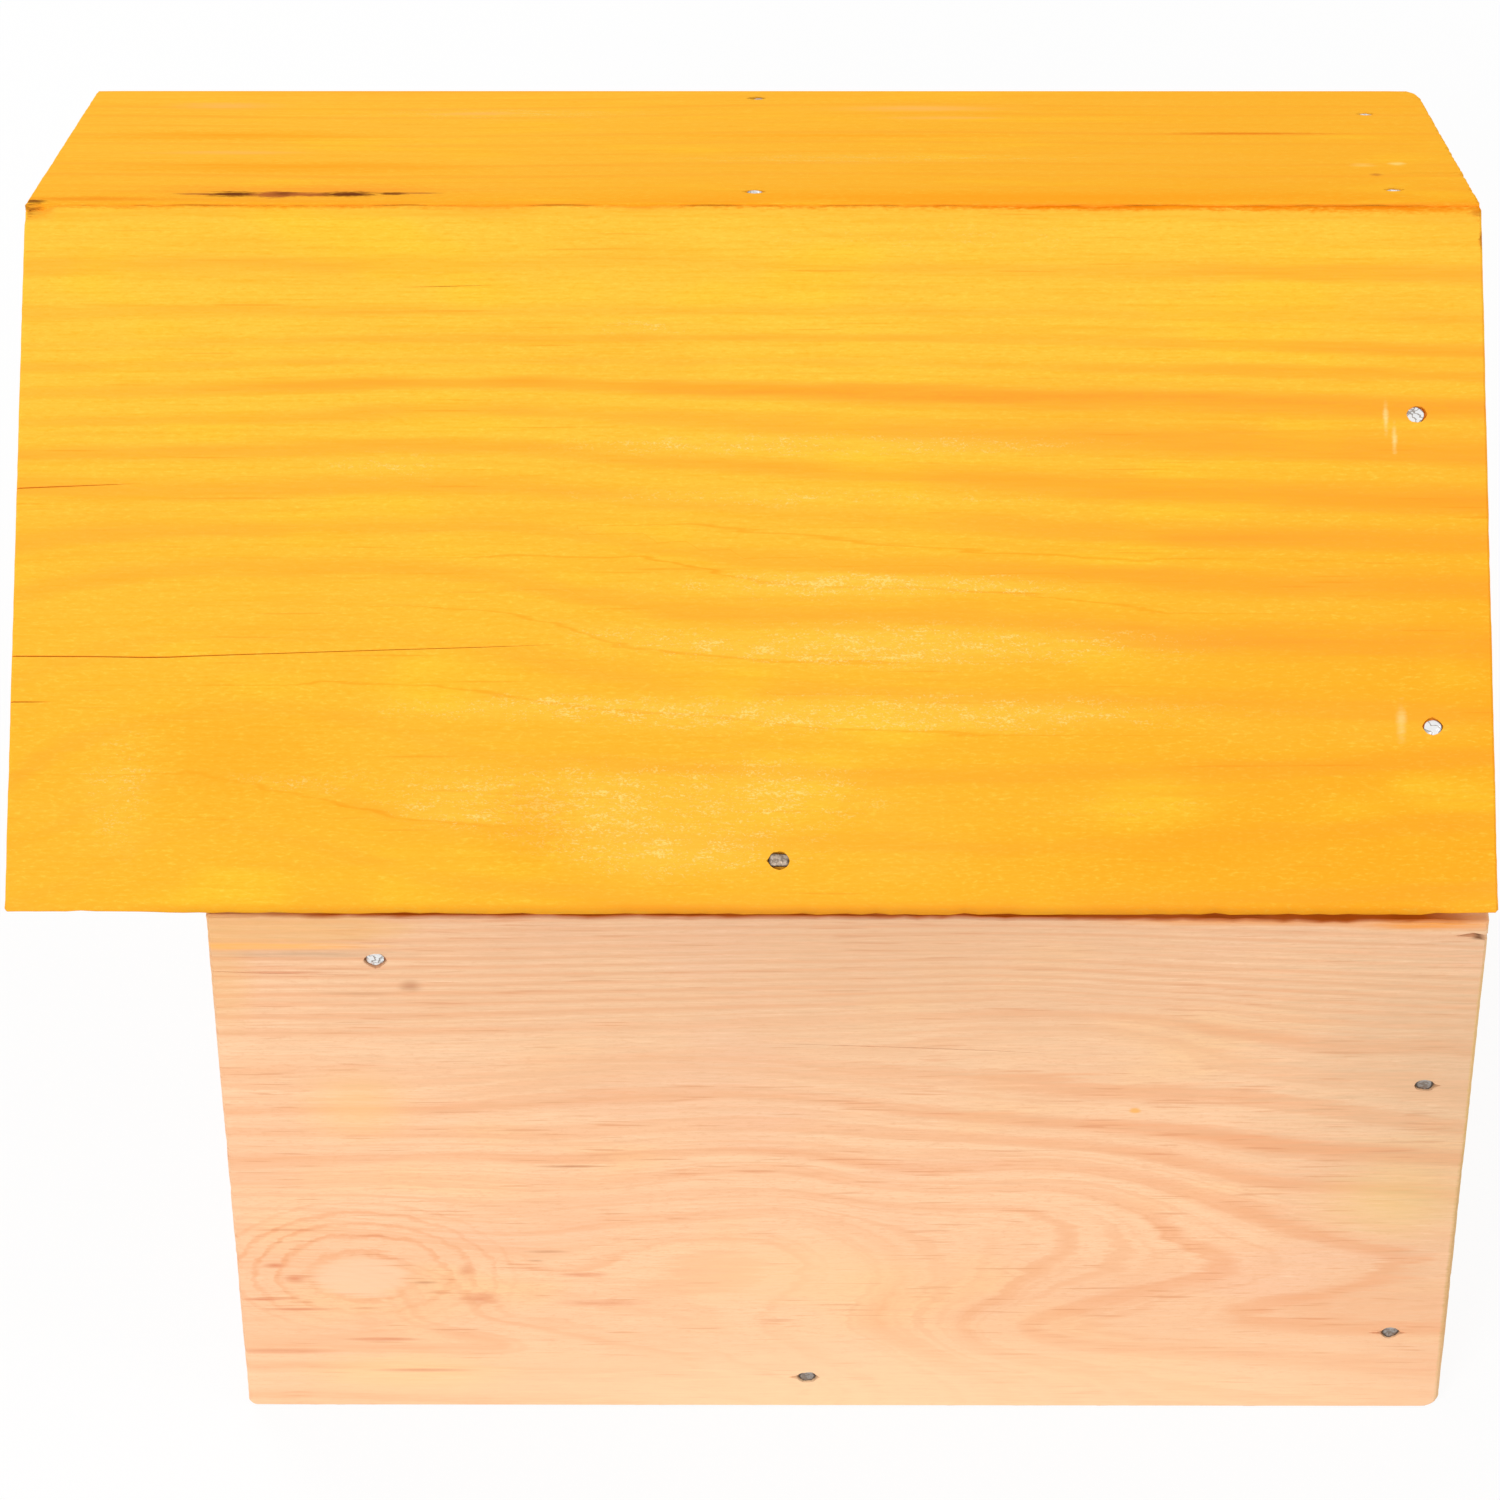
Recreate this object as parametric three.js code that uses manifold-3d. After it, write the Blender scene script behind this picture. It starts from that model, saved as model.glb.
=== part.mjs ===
// Bee hotel: a small pine house, open at the front and filled with bamboo canes for solitary bees to nest in.
// Lengths are in millimetres. X runs across the house, Y from its front to its back and Z upwards.
// The origin is on the ground, under the middle of the roof.

import * as THREE from 'three';
import { mergeVertices } from 'three/addons/utils/BufferGeometryUtils.js';
import Module from 'manifold-3d';

const wasm = await Module();
wasm.setup();

// The house: walls, floor, back panel and the gable board that closes the front above the canes.
const houseWidth = 124.8; // over the outer faces of the two walls
const wallHeight = 84.5;
const wallThickness = 11;
const frontCornerRadius = 1; // at the foot of each wall, in front
const rearCornerRadius = 2; // at the foot of each wall, behind
const floorThickness = 11;
const backThickness = 11;
const gableThickness = 11;
const gableSetback = 12.6; // gable board behind the front edges of the walls
const gableDrop = 15.2; // how far the gable board hangs below the tops of the walls

// The roof: two boards, mitred at the ridge and undercut by the same bevel at the eaves.
const roofLength = 160;
const roofThickness = 11;
const roofPitch = THREE.MathUtils.degToRad(31);
const frontOverhang = 20.8; // roof past the front edges of the walls
const eaveOverhang = 6; // roof past the outer faces of the walls

// The keyhole in the back panel, which hangs on a screw.
const keyholeDrop = 19; // centre of the slot's round end below the panel's peak
const keyholeSlotLength = 8; // between the centres of the slot's end and of the entry
const keyholeSlotRadius = 2.25;
const keyholeEntryRadius = 4.5;

// The bamboo canes.
const caneDiameter = 15; // a cane of share 1
const caneSetback = 12; // front ends of the longest canes behind the front edges of the walls
const caneBoreShare = 0.66; // bore to diameter
const nodeSwell = 0.4; // the ridge at a node stands out by this much
const nodeLength = 5; // along the cane
const nodeGroove = 0.2; // depth of the groove between the two ridges of a node
const septumThickness = 2.4;
const nodeInset = 9; // the rearmost nodes in front of the canes' rear ends
const caneDiameterShares = [1, 0.94, 1.06, 0.9, 1.1, 0.97, 1.03, 0.6];
const caneTrimShares = [0.004, 0.013, 0, 0.009, 0.018, 0.006, 0.011]; // cut off a cane's length
const nodeDriftShares = [0, 0.16, 0.05, 0.27, 0.02, 0.11, 0.08, 0.21]; // node forward, by a cane's length

// The nails.
const nailLength = 20;
const nailHeadRadius = 0.95;
const nailHeadThickness = 0.5;
const nailShankRadius = 0.6;
const nailPointLength = 2;
const nailSink = 0.2; // heads below the wood's face
const floorNailShare = 0.51; // along the floor from its front
const backNailShares = { lower: [0.162, 0.58], upper: [0.67, 0.48] }; // up the wall, in from the rear
const rightRoofNailShares = { upper: [0.301, 0.71], lower: [0.742, 0.6] }; // down the slope, in from the rear
const leftRoofNailShares = { upper: [0.115, 0.8], lower: [0.779, 0.7] };
const eaveNailOutset = 0.9; // where an eave nail goes in, outside the wall's outer face
const rightEaveNailShare = 0.519; // along the roof from its front
const leftEaveNailShare = 0.5;
const ridgeNailShare = 0.501; // along the roof from its front
const ridgeNailDepthShare = 0.62; // how deep in the right board the ridge nail runs

// Fits.
const jointGap = 0.3; // between pieces that meet
const nailClearance = 0.3; // round a nail in its hole
const cutOverrun = 2; // how far a cutter passes the face that it opens

// How round shapes are divided.
const caneSides = 18;
const nailSides = 8;
const cornerSegments = 6;

// Places that follow from the sizes above.
const roofFront = -roofLength / 2;
const roofRear = roofLength / 2;
const wallFront = roofFront + frontOverhang;
const wallLength = roofRear - wallFront;
const wallOuter = houseWidth / 2;
const wallInner = wallOuter - wallThickness;
const backFront = roofRear - backThickness;
const gableFront = wallFront + gableSetback;
const gableBottom = wallHeight - gableDrop;
const ridgeInset = jointGap / 2;
const eaveReach = wallOuter + eaveOverhang;
const roofBoardWidth = (eaveReach - ridgeInset) / Math.cos(roofPitch);
const roofBevelInset = roofThickness * Math.tan(roofPitch);
const lowestArris = eaveReach - 2 * roofThickness * Math.sin(roofPitch);
const ridgeHeight = wallHeight + jointGap + undersideDrop(seatAcross());

// The roof bears on a wall where its lowest arris lies over the wall's top, or else at the nearer edge.
function seatAcross() {
  return Math.min(Math.max(lowestArris, wallInner), wallOuter);
}

// How far the roof's lower side lies below the ridge, at a distance across from the middle of the house.
function undersideDrop(across) {
  const bevelReach = eaveReach - lowestArris;
  const faceDrop = (place) => (place - ridgeInset) * Math.tan(roofPitch);
  const planeDrop = (place) => faceDrop(place) + roofThickness / Math.cos(roofPitch);
  if (across <= lowestArris) {
    return planeDrop(across);
  }
  return THREE.MathUtils.lerp(planeDrop(lowestArris), faceDrop(eaveReach), (across - lowestArris) / bevelReach);
}

// The wood, the bamboo and the steel.
const paleWood = () => new THREE.MeshStandardMaterial({ color: 0xf6c08c, roughness: 0.75, metalness: 0 });
const stainedWood = () => new THREE.MeshStandardMaterial({ color: 0xfdb436, roughness: 0.65, metalness: 0 });
const bamboo = () => new THREE.MeshStandardMaterial({ color: 0xd8bd84, roughness: 0.5, metalness: 0 });
const steel = () => new THREE.MeshStandardMaterial({ color: 0xb4b6ba, roughness: 0.35, metalness: 0.9 });

// A closed geometry as a solid that can be cut, and back again.
function solidFrom(geometry) {
  const plain = geometry.clone();
  plain.deleteAttribute('normal');
  plain.deleteAttribute('uv');
  const merged = mergeVertices(plain);
  const vertProperties = new Float32Array(merged.attributes.position.array);
  const triVerts = new Uint32Array(merged.index.array);
  return new wasm.Manifold(new wasm.Mesh({ numProp: 3, vertProperties, triVerts }));
}

function geometryFrom(solid) {
  const mesh = solid.getMesh();
  const geometry = new THREE.BufferGeometry();
  geometry.setAttribute('position', new THREE.BufferAttribute(mesh.vertProperties, 3));
  geometry.setIndex(new THREE.BufferAttribute(mesh.triVerts, 1));
  const faceted = geometry.toNonIndexed();
  faceted.computeVertexNormals();
  return faceted;
}

// An outline drawn in a board's own plane, given a thickness.
function sawn(outline, thickness) {
  return new THREE.ExtrudeGeometry(outline, { depth: thickness, bevelEnabled: false, curveSegments: cornerSegments });
}

// A board that stands across the house, drawn as seen from the front: right is X and up is Z.
function boardAcross(name, outline, thickness, front, material) {
  const board = new THREE.Mesh(sawn(outline, thickness), material);
  board.name = name;
  board.rotation.x = Math.PI / 2;
  board.position.y = front + thickness;
  return board;
}

// A side wall, its two lower corners rounded.
function wall(name, side) {
  const outline = new THREE.Shape();
  outline.moveTo(frontCornerRadius, 0);
  outline.lineTo(wallLength - rearCornerRadius, 0);
  outline.absarc(wallLength - rearCornerRadius, rearCornerRadius, rearCornerRadius, -Math.PI / 2, 0);
  outline.lineTo(wallLength, wallHeight);
  outline.lineTo(0, wallHeight);
  outline.lineTo(0, frontCornerRadius);
  outline.absarc(frontCornerRadius, frontCornerRadius, frontCornerRadius, Math.PI, 1.5 * Math.PI);
  const board = new THREE.Mesh(sawn(outline, wallThickness), paleWood());
  board.name = name;
  const along = new THREE.Vector3(0, 1, 0);
  const upward = new THREE.Vector3(0, 0, 1);
  const across = new THREE.Vector3(1, 0, 0);
  board.quaternion.setFromRotationMatrix(new THREE.Matrix4().makeBasis(along, upward, across));
  board.position.set(side > 0 ? wallInner : -wallOuter, wallFront, 0);
  return board;
}

// The floor, held between the walls and in front of the back panel.
function floor() {
  const halfWidth = wallInner - jointGap;
  const length = backFront - jointGap - wallFront;
  const board = new THREE.Mesh(new THREE.BoxGeometry(2 * halfWidth, length, floorThickness), paleWood());
  board.name = 'floor';
  board.position.set(0, wallFront + length / 2, floorThickness / 2);
  return board;
}

// The outline of a board that fits between the walls and under both slopes of the roof.
function gabledOutline(bottom) {
  const halfWidth = wallInner - jointGap;
  const shoulder = ridgeHeight - undersideDrop(halfWidth) - jointGap / Math.cos(roofPitch);
  const outline = new THREE.Shape();
  outline.moveTo(-halfWidth, bottom);
  outline.lineTo(halfWidth, bottom);
  outline.lineTo(halfWidth, shoulder);
  outline.lineTo(0, panelPeak());
  outline.lineTo(-halfWidth, shoulder);
  return outline;
}

function panelPeak() {
  return ridgeHeight - undersideDrop(0) - jointGap / Math.cos(roofPitch);
}

// The back panel, with a keyhole that drops over a screw's head and slides down on to its shank.
function backPanel() {
  const outline = gabledOutline(0);
  const slotTop = panelPeak() - keyholeDrop;
  const entry = slotTop - keyholeSlotLength;
  const meetingAngle = Math.acos(keyholeSlotRadius / keyholeEntryRadius);
  const meeting = entry + keyholeEntryRadius * Math.sin(meetingAngle);
  const keyhole = new THREE.Path();
  keyhole.moveTo(keyholeSlotRadius, meeting);
  keyhole.lineTo(keyholeSlotRadius, slotTop);
  keyhole.absarc(0, slotTop, keyholeSlotRadius, 0, Math.PI);
  keyhole.lineTo(-keyholeSlotRadius, meeting);
  keyhole.absarc(0, entry, keyholeEntryRadius, Math.PI - meetingAngle, 2 * Math.PI + meetingAngle);
  outline.holes.push(keyhole);
  return boardAcross('back_panel', outline, backThickness, backFront, paleWood());
}

// The gable board, which closes the front above the canes.
function gableBoard() {
  return boardAcross('gable_board', gabledOutline(gableBottom), gableThickness, gableFront, paleWood());
}

// A roof board lies in its slope's frame: X down the slope from the ridge, and Z out of its upper face.
function roofBoard(name) {
  const outline = new THREE.Shape();
  outline.moveTo(0, 0);
  outline.lineTo(roofBevelInset, -roofThickness);
  outline.lineTo(roofBoardWidth - roofBevelInset, -roofThickness);
  outline.lineTo(roofBoardWidth, 0);
  return boardAcross(name, outline, roofLength, roofFront, stainedWood());
}

function slope(side) {
  const turned = new THREE.Group();
  turned.rotation.z = side > 0 ? 0 : Math.PI;
  const pitched = new THREE.Group();
  pitched.rotation.y = roofPitch;
  pitched.position.set(ridgeInset, 0, ridgeHeight);
  pitched.add(roofBoard(side > 0 ? 'right_roof_board' : 'left_roof_board'));
  turned.add(pitched);
  return turned;
}

// A nail points down its own Y axis, with the top of its head at the origin.
// Grown by a clearance, the same profile cuts the nail's hole.
function nailGeometry(clearance, overrun) {
  const shank = nailShankRadius + clearance;
  const head = nailHeadRadius + clearance;
  const profile = [
    new THREE.Vector2(0, -nailLength - clearance),
    new THREE.Vector2(shank, nailPointLength - nailLength),
    new THREE.Vector2(shank, -nailHeadThickness - clearance),
    new THREE.Vector2(head, -nailHeadThickness - clearance),
    new THREE.Vector2(head, overrun),
    new THREE.Vector2(0, overrun),
  ];
  return new THREE.LatheGeometry(profile, nailSides);
}

// A nail driven in at a point of a face, towards another point.
function nail(name, point, target) {
  const driven = new THREE.Mesh(nailGeometry(0, 0), steel());
  const heading = target.clone().sub(point).normalize();
  driven.name = name;
  driven.quaternion.setFromUnitVectors(new THREE.Vector3(0, -1, 0), heading);
  driven.position.copy(point).addScaledVector(heading, nailSink);
  return driven;
}

// The nails through one wall: into the floor, the gable board and the back panel.
function wallNails(name, side) {
  const floorLength = backFront - wallFront;
  const places = {
    floor: [wallFront + floorNailShare * floorLength, floorThickness / 2],
    gable: [gableFront + gableThickness / 2, gableBottom + gableDrop / 2],
  };
  for (const [height, [upShare, inShare]] of Object.entries(backNailShares)) {
    places[`${height}_back`] = [roofRear - inShare * backThickness, upShare * wallHeight];
  }
  return Object.entries(places).map(([piece, [along, up]]) => nail(
    `${name}_${piece}_nail`,
    new THREE.Vector3(side * wallOuter, along, up),
    new THREE.Vector3(0, along, up),
  ));
}

// A point on the upper face of a slope, at a distance down it from the ridge.
function onSlope(side, downSlope, along) {
  const across = ridgeInset + downSlope * Math.cos(roofPitch);
  return new THREE.Vector3(side * across, along, ridgeHeight - downSlope * Math.sin(roofPitch));
}

// The nails through one roof board: two square into the back panel, and one where the board bears on the wall.
function roofNails(name, side, shares, eaveShare) {
  const intoBoard = new THREE.Vector3(-side * Math.sin(roofPitch), 0, -Math.cos(roofPitch));
  const nails = Object.entries(shares).map(([height, [downShare, inShare]]) => {
    const point = onSlope(side, downShare * roofBoardWidth, roofRear - inShare * backThickness);
    return nail(`${name}_${height}_roof_nail`, point, point.clone().addScaledVector(intoBoard, nailLength));
  });
  const eavePoint = onSlope(
    side,
    (wallOuter + eaveNailOutset - ridgeInset) / Math.cos(roofPitch),
    roofFront + eaveShare * roofLength,
  );
  const seat = new THREE.Vector3(side * seatAcross(), eavePoint.y, wallHeight);
  nails.push(nail(`${name}_eave_nail`, eavePoint, seat));
  return nails;
}

// The ridge nail goes in through the left slope and runs on inside the right board, in line with its faces.
function ridgeNail() {
  const downSlope = ridgeNailDepthShare * roofThickness / Math.sin(2 * roofPitch);
  const point = onSlope(-1, downSlope, roofFront + ridgeNailShare * roofLength);
  const downRight = new THREE.Vector3(Math.cos(roofPitch), 0, -Math.sin(roofPitch));
  return nail('ridge_nail', point, point.clone().addScaledVector(downRight, nailLength));
}

// Cuts the nails' holes in a board that already stands in its place.
function drill(board, nails) {
  board.updateWorldMatrix(true, false);
  const intoBoard = board.matrixWorld.clone().invert();
  let solid = solidFrom(board.geometry);
  for (const driven of nails) {
    driven.updateWorldMatrix(true, false);
    const hole = nailGeometry(nailClearance, cutOverrun);
    hole.applyMatrix4(intoBoard.clone().multiply(driven.matrixWorld));
    solid = solid.subtract(solidFrom(hole));
  }
  board.geometry = geometryFrom(solid);
}

// Every place where a cane of a given reach can rest on two things: the floor, a wall or canes laid before.
function restingPlaces(reach, laid, room) {
  const places = [
    { x: room.left + reach, z: room.bottom + reach },
    { x: room.right - reach, z: room.bottom + reach },
  ];
  for (const cane of laid) {
    const apart = reach + cane.reach;
    const rise = room.bottom + reach - cane.z;
    const stepOut = Math.sqrt(apart ** 2 - rise ** 2);
    places.push({ x: cane.x - stepOut, z: room.bottom + reach }, { x: cane.x + stepOut, z: room.bottom + reach });
    for (const x of [room.left + reach, room.right - reach]) {
      places.push({ x, z: cane.z + Math.sqrt(apart ** 2 - (x - cane.x) ** 2) });
    }
    for (const other of laid) {
      places.push(...betweenCanes(reach, cane, other));
    }
  }
  return places;
}

// The place on top of two canes, where a third touches both.
function betweenCanes(reach, cane, other) {
  const acrossX = other.x - cane.x;
  const acrossZ = other.z - cane.z;
  const span = Math.hypot(acrossX, acrossZ);
  const toCane = reach + cane.reach;
  const toOther = reach + other.reach;
  const along = (toCane ** 2 - toOther ** 2 + span ** 2) / (2 * span);
  const off = Math.sqrt(toCane ** 2 - along ** 2);
  if (!(acrossX > 0) || Number.isNaN(off)) {
    return [];
  }
  return [{
    x: cane.x + (along * acrossX - off * acrossZ) / span,
    z: cane.z + (along * acrossZ + off * acrossX) / span,
  }];
}

// Lays canes one by one, each in the lowest place that is left, until none of the sizes fits any more.
function stackCanes() {
  const room = {
    left: ridgeInset - wallInner,
    right: wallInner - ridgeInset,
    bottom: floorThickness + jointGap / 2,
    top: gableBottom - jointGap / 2,
  };
  const laid = [];
  const sizes = caneDiameterShares.length;
  let misses = 0;
  for (let turn = 0; misses < sizes; turn += 1) {
    const radius = caneDiameterShares[turn % sizes] * caneDiameter / 2;
    const reach = radius + nodeSwell + jointGap / 2;
    const place = lowestFree(restingPlaces(reach, laid, room), reach, laid, room);
    if (place) {
      laid.push({ ...place, radius, reach });
    }
    misses = place ? 0 : misses + 1;
  }
  return laid;
}

function lowestFree(places, reach, laid, room) {
  const slack = jointGap / 1000;
  const inside = ({ x, z }) => x > room.left + reach - slack && x < room.right - reach + slack
    && z > room.bottom + reach - slack && z < room.top - reach + slack;
  const clear = ({ x, z }) => laid.every((cane) => Math.hypot(x - cane.x, z - cane.z) > reach + cane.reach - slack);
  const free = places.filter((place) => inside(place) && clear(place));
  free.sort((one, other) => (Math.abs(one.z - other.z) < slack ? one.x - other.x : one.z - other.z));
  return free[0];
}

// A cane lies along its own Y axis, with its rear end at the origin. Its bore runs in from the front to the
// wall that closes the cane at a node. The stub behind the node is hollow too.
function caneGeometry(radius, length, node) {
  const bore = radius * caneBoreShare;
  const ridge = radius + nodeSwell;
  const quarter = nodeLength / 4;
  const profile = [
    new THREE.Vector2(0, node - septumThickness / 2),
    new THREE.Vector2(bore, node - septumThickness / 2),
    new THREE.Vector2(bore, -length),
    new THREE.Vector2(radius, -length),
    new THREE.Vector2(radius, node - 2 * quarter),
    new THREE.Vector2(ridge, node - quarter),
    new THREE.Vector2(ridge - nodeGroove, node),
    new THREE.Vector2(ridge, node + quarter),
    new THREE.Vector2(radius, node + 2 * quarter),
    new THREE.Vector2(radius, 0),
    new THREE.Vector2(bore, 0),
    new THREE.Vector2(bore, node + septumThickness / 2),
    new THREE.Vector2(0, node + septumThickness / 2),
  ];
  return new THREE.LatheGeometry(profile, caneSides);
}

// The canes, cut to slightly different lengths and pushed back against the panel.
function canes() {
  const rearEnd = backFront - jointGap;
  const longest = rearEnd - wallFront - caneSetback;
  const bundle = new THREE.Group();
  stackCanes().forEach(({ x, z, radius }, index) => {
    const length = longest * (1 - caneTrimShares[index % caneTrimShares.length]);
    const node = -nodeInset - longest * nodeDriftShares[index % nodeDriftShares.length];
    const cane = new THREE.Mesh(caneGeometry(radius, length, node), bamboo());
    cane.name = `cane_${String(index + 1).padStart(2, '0')}`;
    cane.position.set(x, rearEnd, z);
    bundle.add(cane);
  });
  return bundle;
}

function beeHotel() {
  const hotel = new THREE.Group();
  const boards = [
    wall('right_wall', 1),
    wall('left_wall', -1),
    floor(),
    backPanel(),
    gableBoard(),
  ];
  const slopes = [slope(1), slope(-1)];
  const nails = [
    ...wallNails('right', 1),
    ...wallNails('left', -1),
    ...roofNails('right', 1, rightRoofNailShares, rightEaveNailShare),
    ...roofNails('left', -1, leftRoofNailShares, leftEaveNailShare),
    ridgeNail(),
  ];
  hotel.add(...boards, ...slopes, ...nails, canes());
  for (const board of boards) {
    drill(board, nails);
  }
  for (const half of slopes) {
    half.traverse((piece) => {
      if (piece.isMesh) {
        drill(piece, nails);
      }
    });
  }
  return hotel;
}

export default beeHotel();
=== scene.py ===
# A small pine house for solitary bees: raw pine walls, a stained roof and bamboo canes to nest in.
# Everything is in metres, in the frame of the CAD part: X across, Y from front to back, Z up.
import contextlib
import math

import bmesh
import bpy
import numpy as np
from mathutils import Matrix, Vector, noise


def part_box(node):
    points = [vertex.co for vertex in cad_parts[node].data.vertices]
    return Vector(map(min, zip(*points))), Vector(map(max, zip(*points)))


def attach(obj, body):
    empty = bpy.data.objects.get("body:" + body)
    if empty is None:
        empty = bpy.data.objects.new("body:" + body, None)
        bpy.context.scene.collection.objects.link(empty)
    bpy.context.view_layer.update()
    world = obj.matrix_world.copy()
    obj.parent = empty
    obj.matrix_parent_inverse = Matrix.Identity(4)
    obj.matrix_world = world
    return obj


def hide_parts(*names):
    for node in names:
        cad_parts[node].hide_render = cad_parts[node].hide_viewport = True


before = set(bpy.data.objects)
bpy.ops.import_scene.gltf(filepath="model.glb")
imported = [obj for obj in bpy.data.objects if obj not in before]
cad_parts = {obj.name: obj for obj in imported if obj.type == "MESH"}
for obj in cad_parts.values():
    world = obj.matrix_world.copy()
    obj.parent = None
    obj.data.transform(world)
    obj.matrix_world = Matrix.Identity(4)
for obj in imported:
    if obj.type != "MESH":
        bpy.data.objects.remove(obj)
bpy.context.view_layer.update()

bpy.ops.object.select_all(action="DESELECT")
MM = 0.001

# The camera looks down on the right wall and the roof from beside the house, with a long lens
# from about 80 cm away, as the photograph was taken.
camera_place = Vector((565.4, 4.7, 620.9)) * MM
camera_drop = math.radians(45.46)  # how far it looks down
camera_yaw = math.radians(-0.54)
camera_roll = math.radians(-0.34)
camera_lens, camera_frame = 162.9, 36  # mm

forward = Vector((-math.cos(camera_drop) * math.cos(camera_yaw),
                  math.cos(camera_drop) * math.sin(camera_yaw), -math.sin(camera_drop)))
level = Vector((math.sin(camera_yaw), math.cos(camera_yaw), 0))
upright = level.cross(forward)
right_side = math.cos(camera_roll) * level + math.sin(camera_roll) * upright
top_side = -math.sin(camera_roll) * level + math.cos(camera_roll) * upright
bpy.ops.object.camera_add()
camera = bpy.context.active_object
camera.name = "camera"
camera.matrix_world = Matrix.Translation(camera_place) @ Matrix(
    (right_side, top_side, -forward)).transposed().to_4x4()
camera.data.lens = camera_lens
camera.data.sensor_width = camera_frame
camera.data.clip_start = 0.01
bpy.context.scene.camera = camera
bpy.context.scene.view_settings.view_transform = "Standard"


# The house stands on a white table under large soft lamps. The table and the room look white to the
# camera, and the table keeps a faint shadow of the house.
def paint(red, green, blue):
    """A colour read off as sRGB, 0 to 255, for a shader."""
    def linear(part):
        part /= 255
        return part / 12.92 if part <= 0.04045 else ((part + 0.055) / 1.055) ** 2.4
    return (linear(red), linear(green), linear(blue), 1)


def plainly_seen(tree):
    """One where the camera, a mirror or glass looks, so that light on the house stays as it is."""
    rays = tree.nodes.new("ShaderNodeLightPath")
    total = rays.outputs["Is Camera Ray"]
    for kind in ("Is Glossy Ray", "Is Transmission Ray"):
        either = tree.nodes.new("ShaderNodeMath")
        either.operation = "MAXIMUM"
        tree.links.new(total, either.inputs[0])
        tree.links.new(rays.outputs[kind], either.inputs[1])
        total = either.outputs[0]
    return total


def mix_seen(tree, show, seen, lit, target):
    """Shows the camera one shader, in this share, and gives the light on the house the other."""
    share = tree.nodes.new("ShaderNodeMath")
    share.operation = "MULTIPLY"
    share.inputs[1].default_value = show
    mixed = tree.nodes.new("ShaderNodeMixShader")
    tree.links.new(plainly_seen(tree), share.inputs[0])
    for source, socket in zip((share, lit, seen), mixed.inputs):
        tree.links.new(source.outputs[0], socket)
    tree.links.new(mixed.outputs[0], tree.nodes[target].inputs["Surface"])


room_light = 0.62
world = bpy.data.worlds.new("room")
world.use_nodes = True
bpy.context.scene.world = world
room = world.node_tree
lit = room.nodes["Background"]
lit.inputs["Color"].default_value = (1, 1, 1, 1)
lit.inputs["Strength"].default_value = room_light
seen = room.nodes.new("ShaderNodeBackground")
seen.inputs["Color"].default_value = (1, 1, 1, 1)
mix_seen(room, 1, seen, lit, "World Output")

table_radius, table_white = 3, 0.86
table_show = 0.92  # share of plain white in what the camera sees of the table
bpy.ops.mesh.primitive_circle_add(vertices=96, radius=table_radius, fill_type="NGON",
                                  location=(0, 0, -0.02 * MM))
table = bpy.context.active_object
table.name = "table"
cloth = bpy.data.materials.new("white_table")
cloth.use_nodes = True
matt = cloth.node_tree.nodes["Principled BSDF"]
matt.inputs["Base Color"].default_value = (table_white, table_white, table_white, 1)
matt.inputs["Roughness"].default_value = 0.9
matt.inputs["Specular IOR Level"].default_value = 0
glow = cloth.node_tree.nodes.new("ShaderNodeEmission")
mix_seen(cloth.node_tree, table_show, glow, matt, "Material Output")
table.data.materials.append(cloth)


def soft_lamp(name, place, size, power):
    bpy.ops.object.light_add(type="AREA", location=place)
    lamp = bpy.context.active_object
    lamp.name = name
    lamp.data.size = size
    lamp.data.energy = power
    lamp.rotation_euler = (Vector((0, 0, 0.06)) - Vector(place)).to_track_quat("-Z", "Y").to_euler()


soft_lamp("main_lamp", (1.5, -0.7, 1.15), 0.6, 15.8)
soft_lamp("side_lamp", (0.6, 1.7, 1.1), 1.2, 7.5)
soft_lamp("far_lamp", (-1.6, -0.9, 1.3), 1.4, 19.8)


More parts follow.
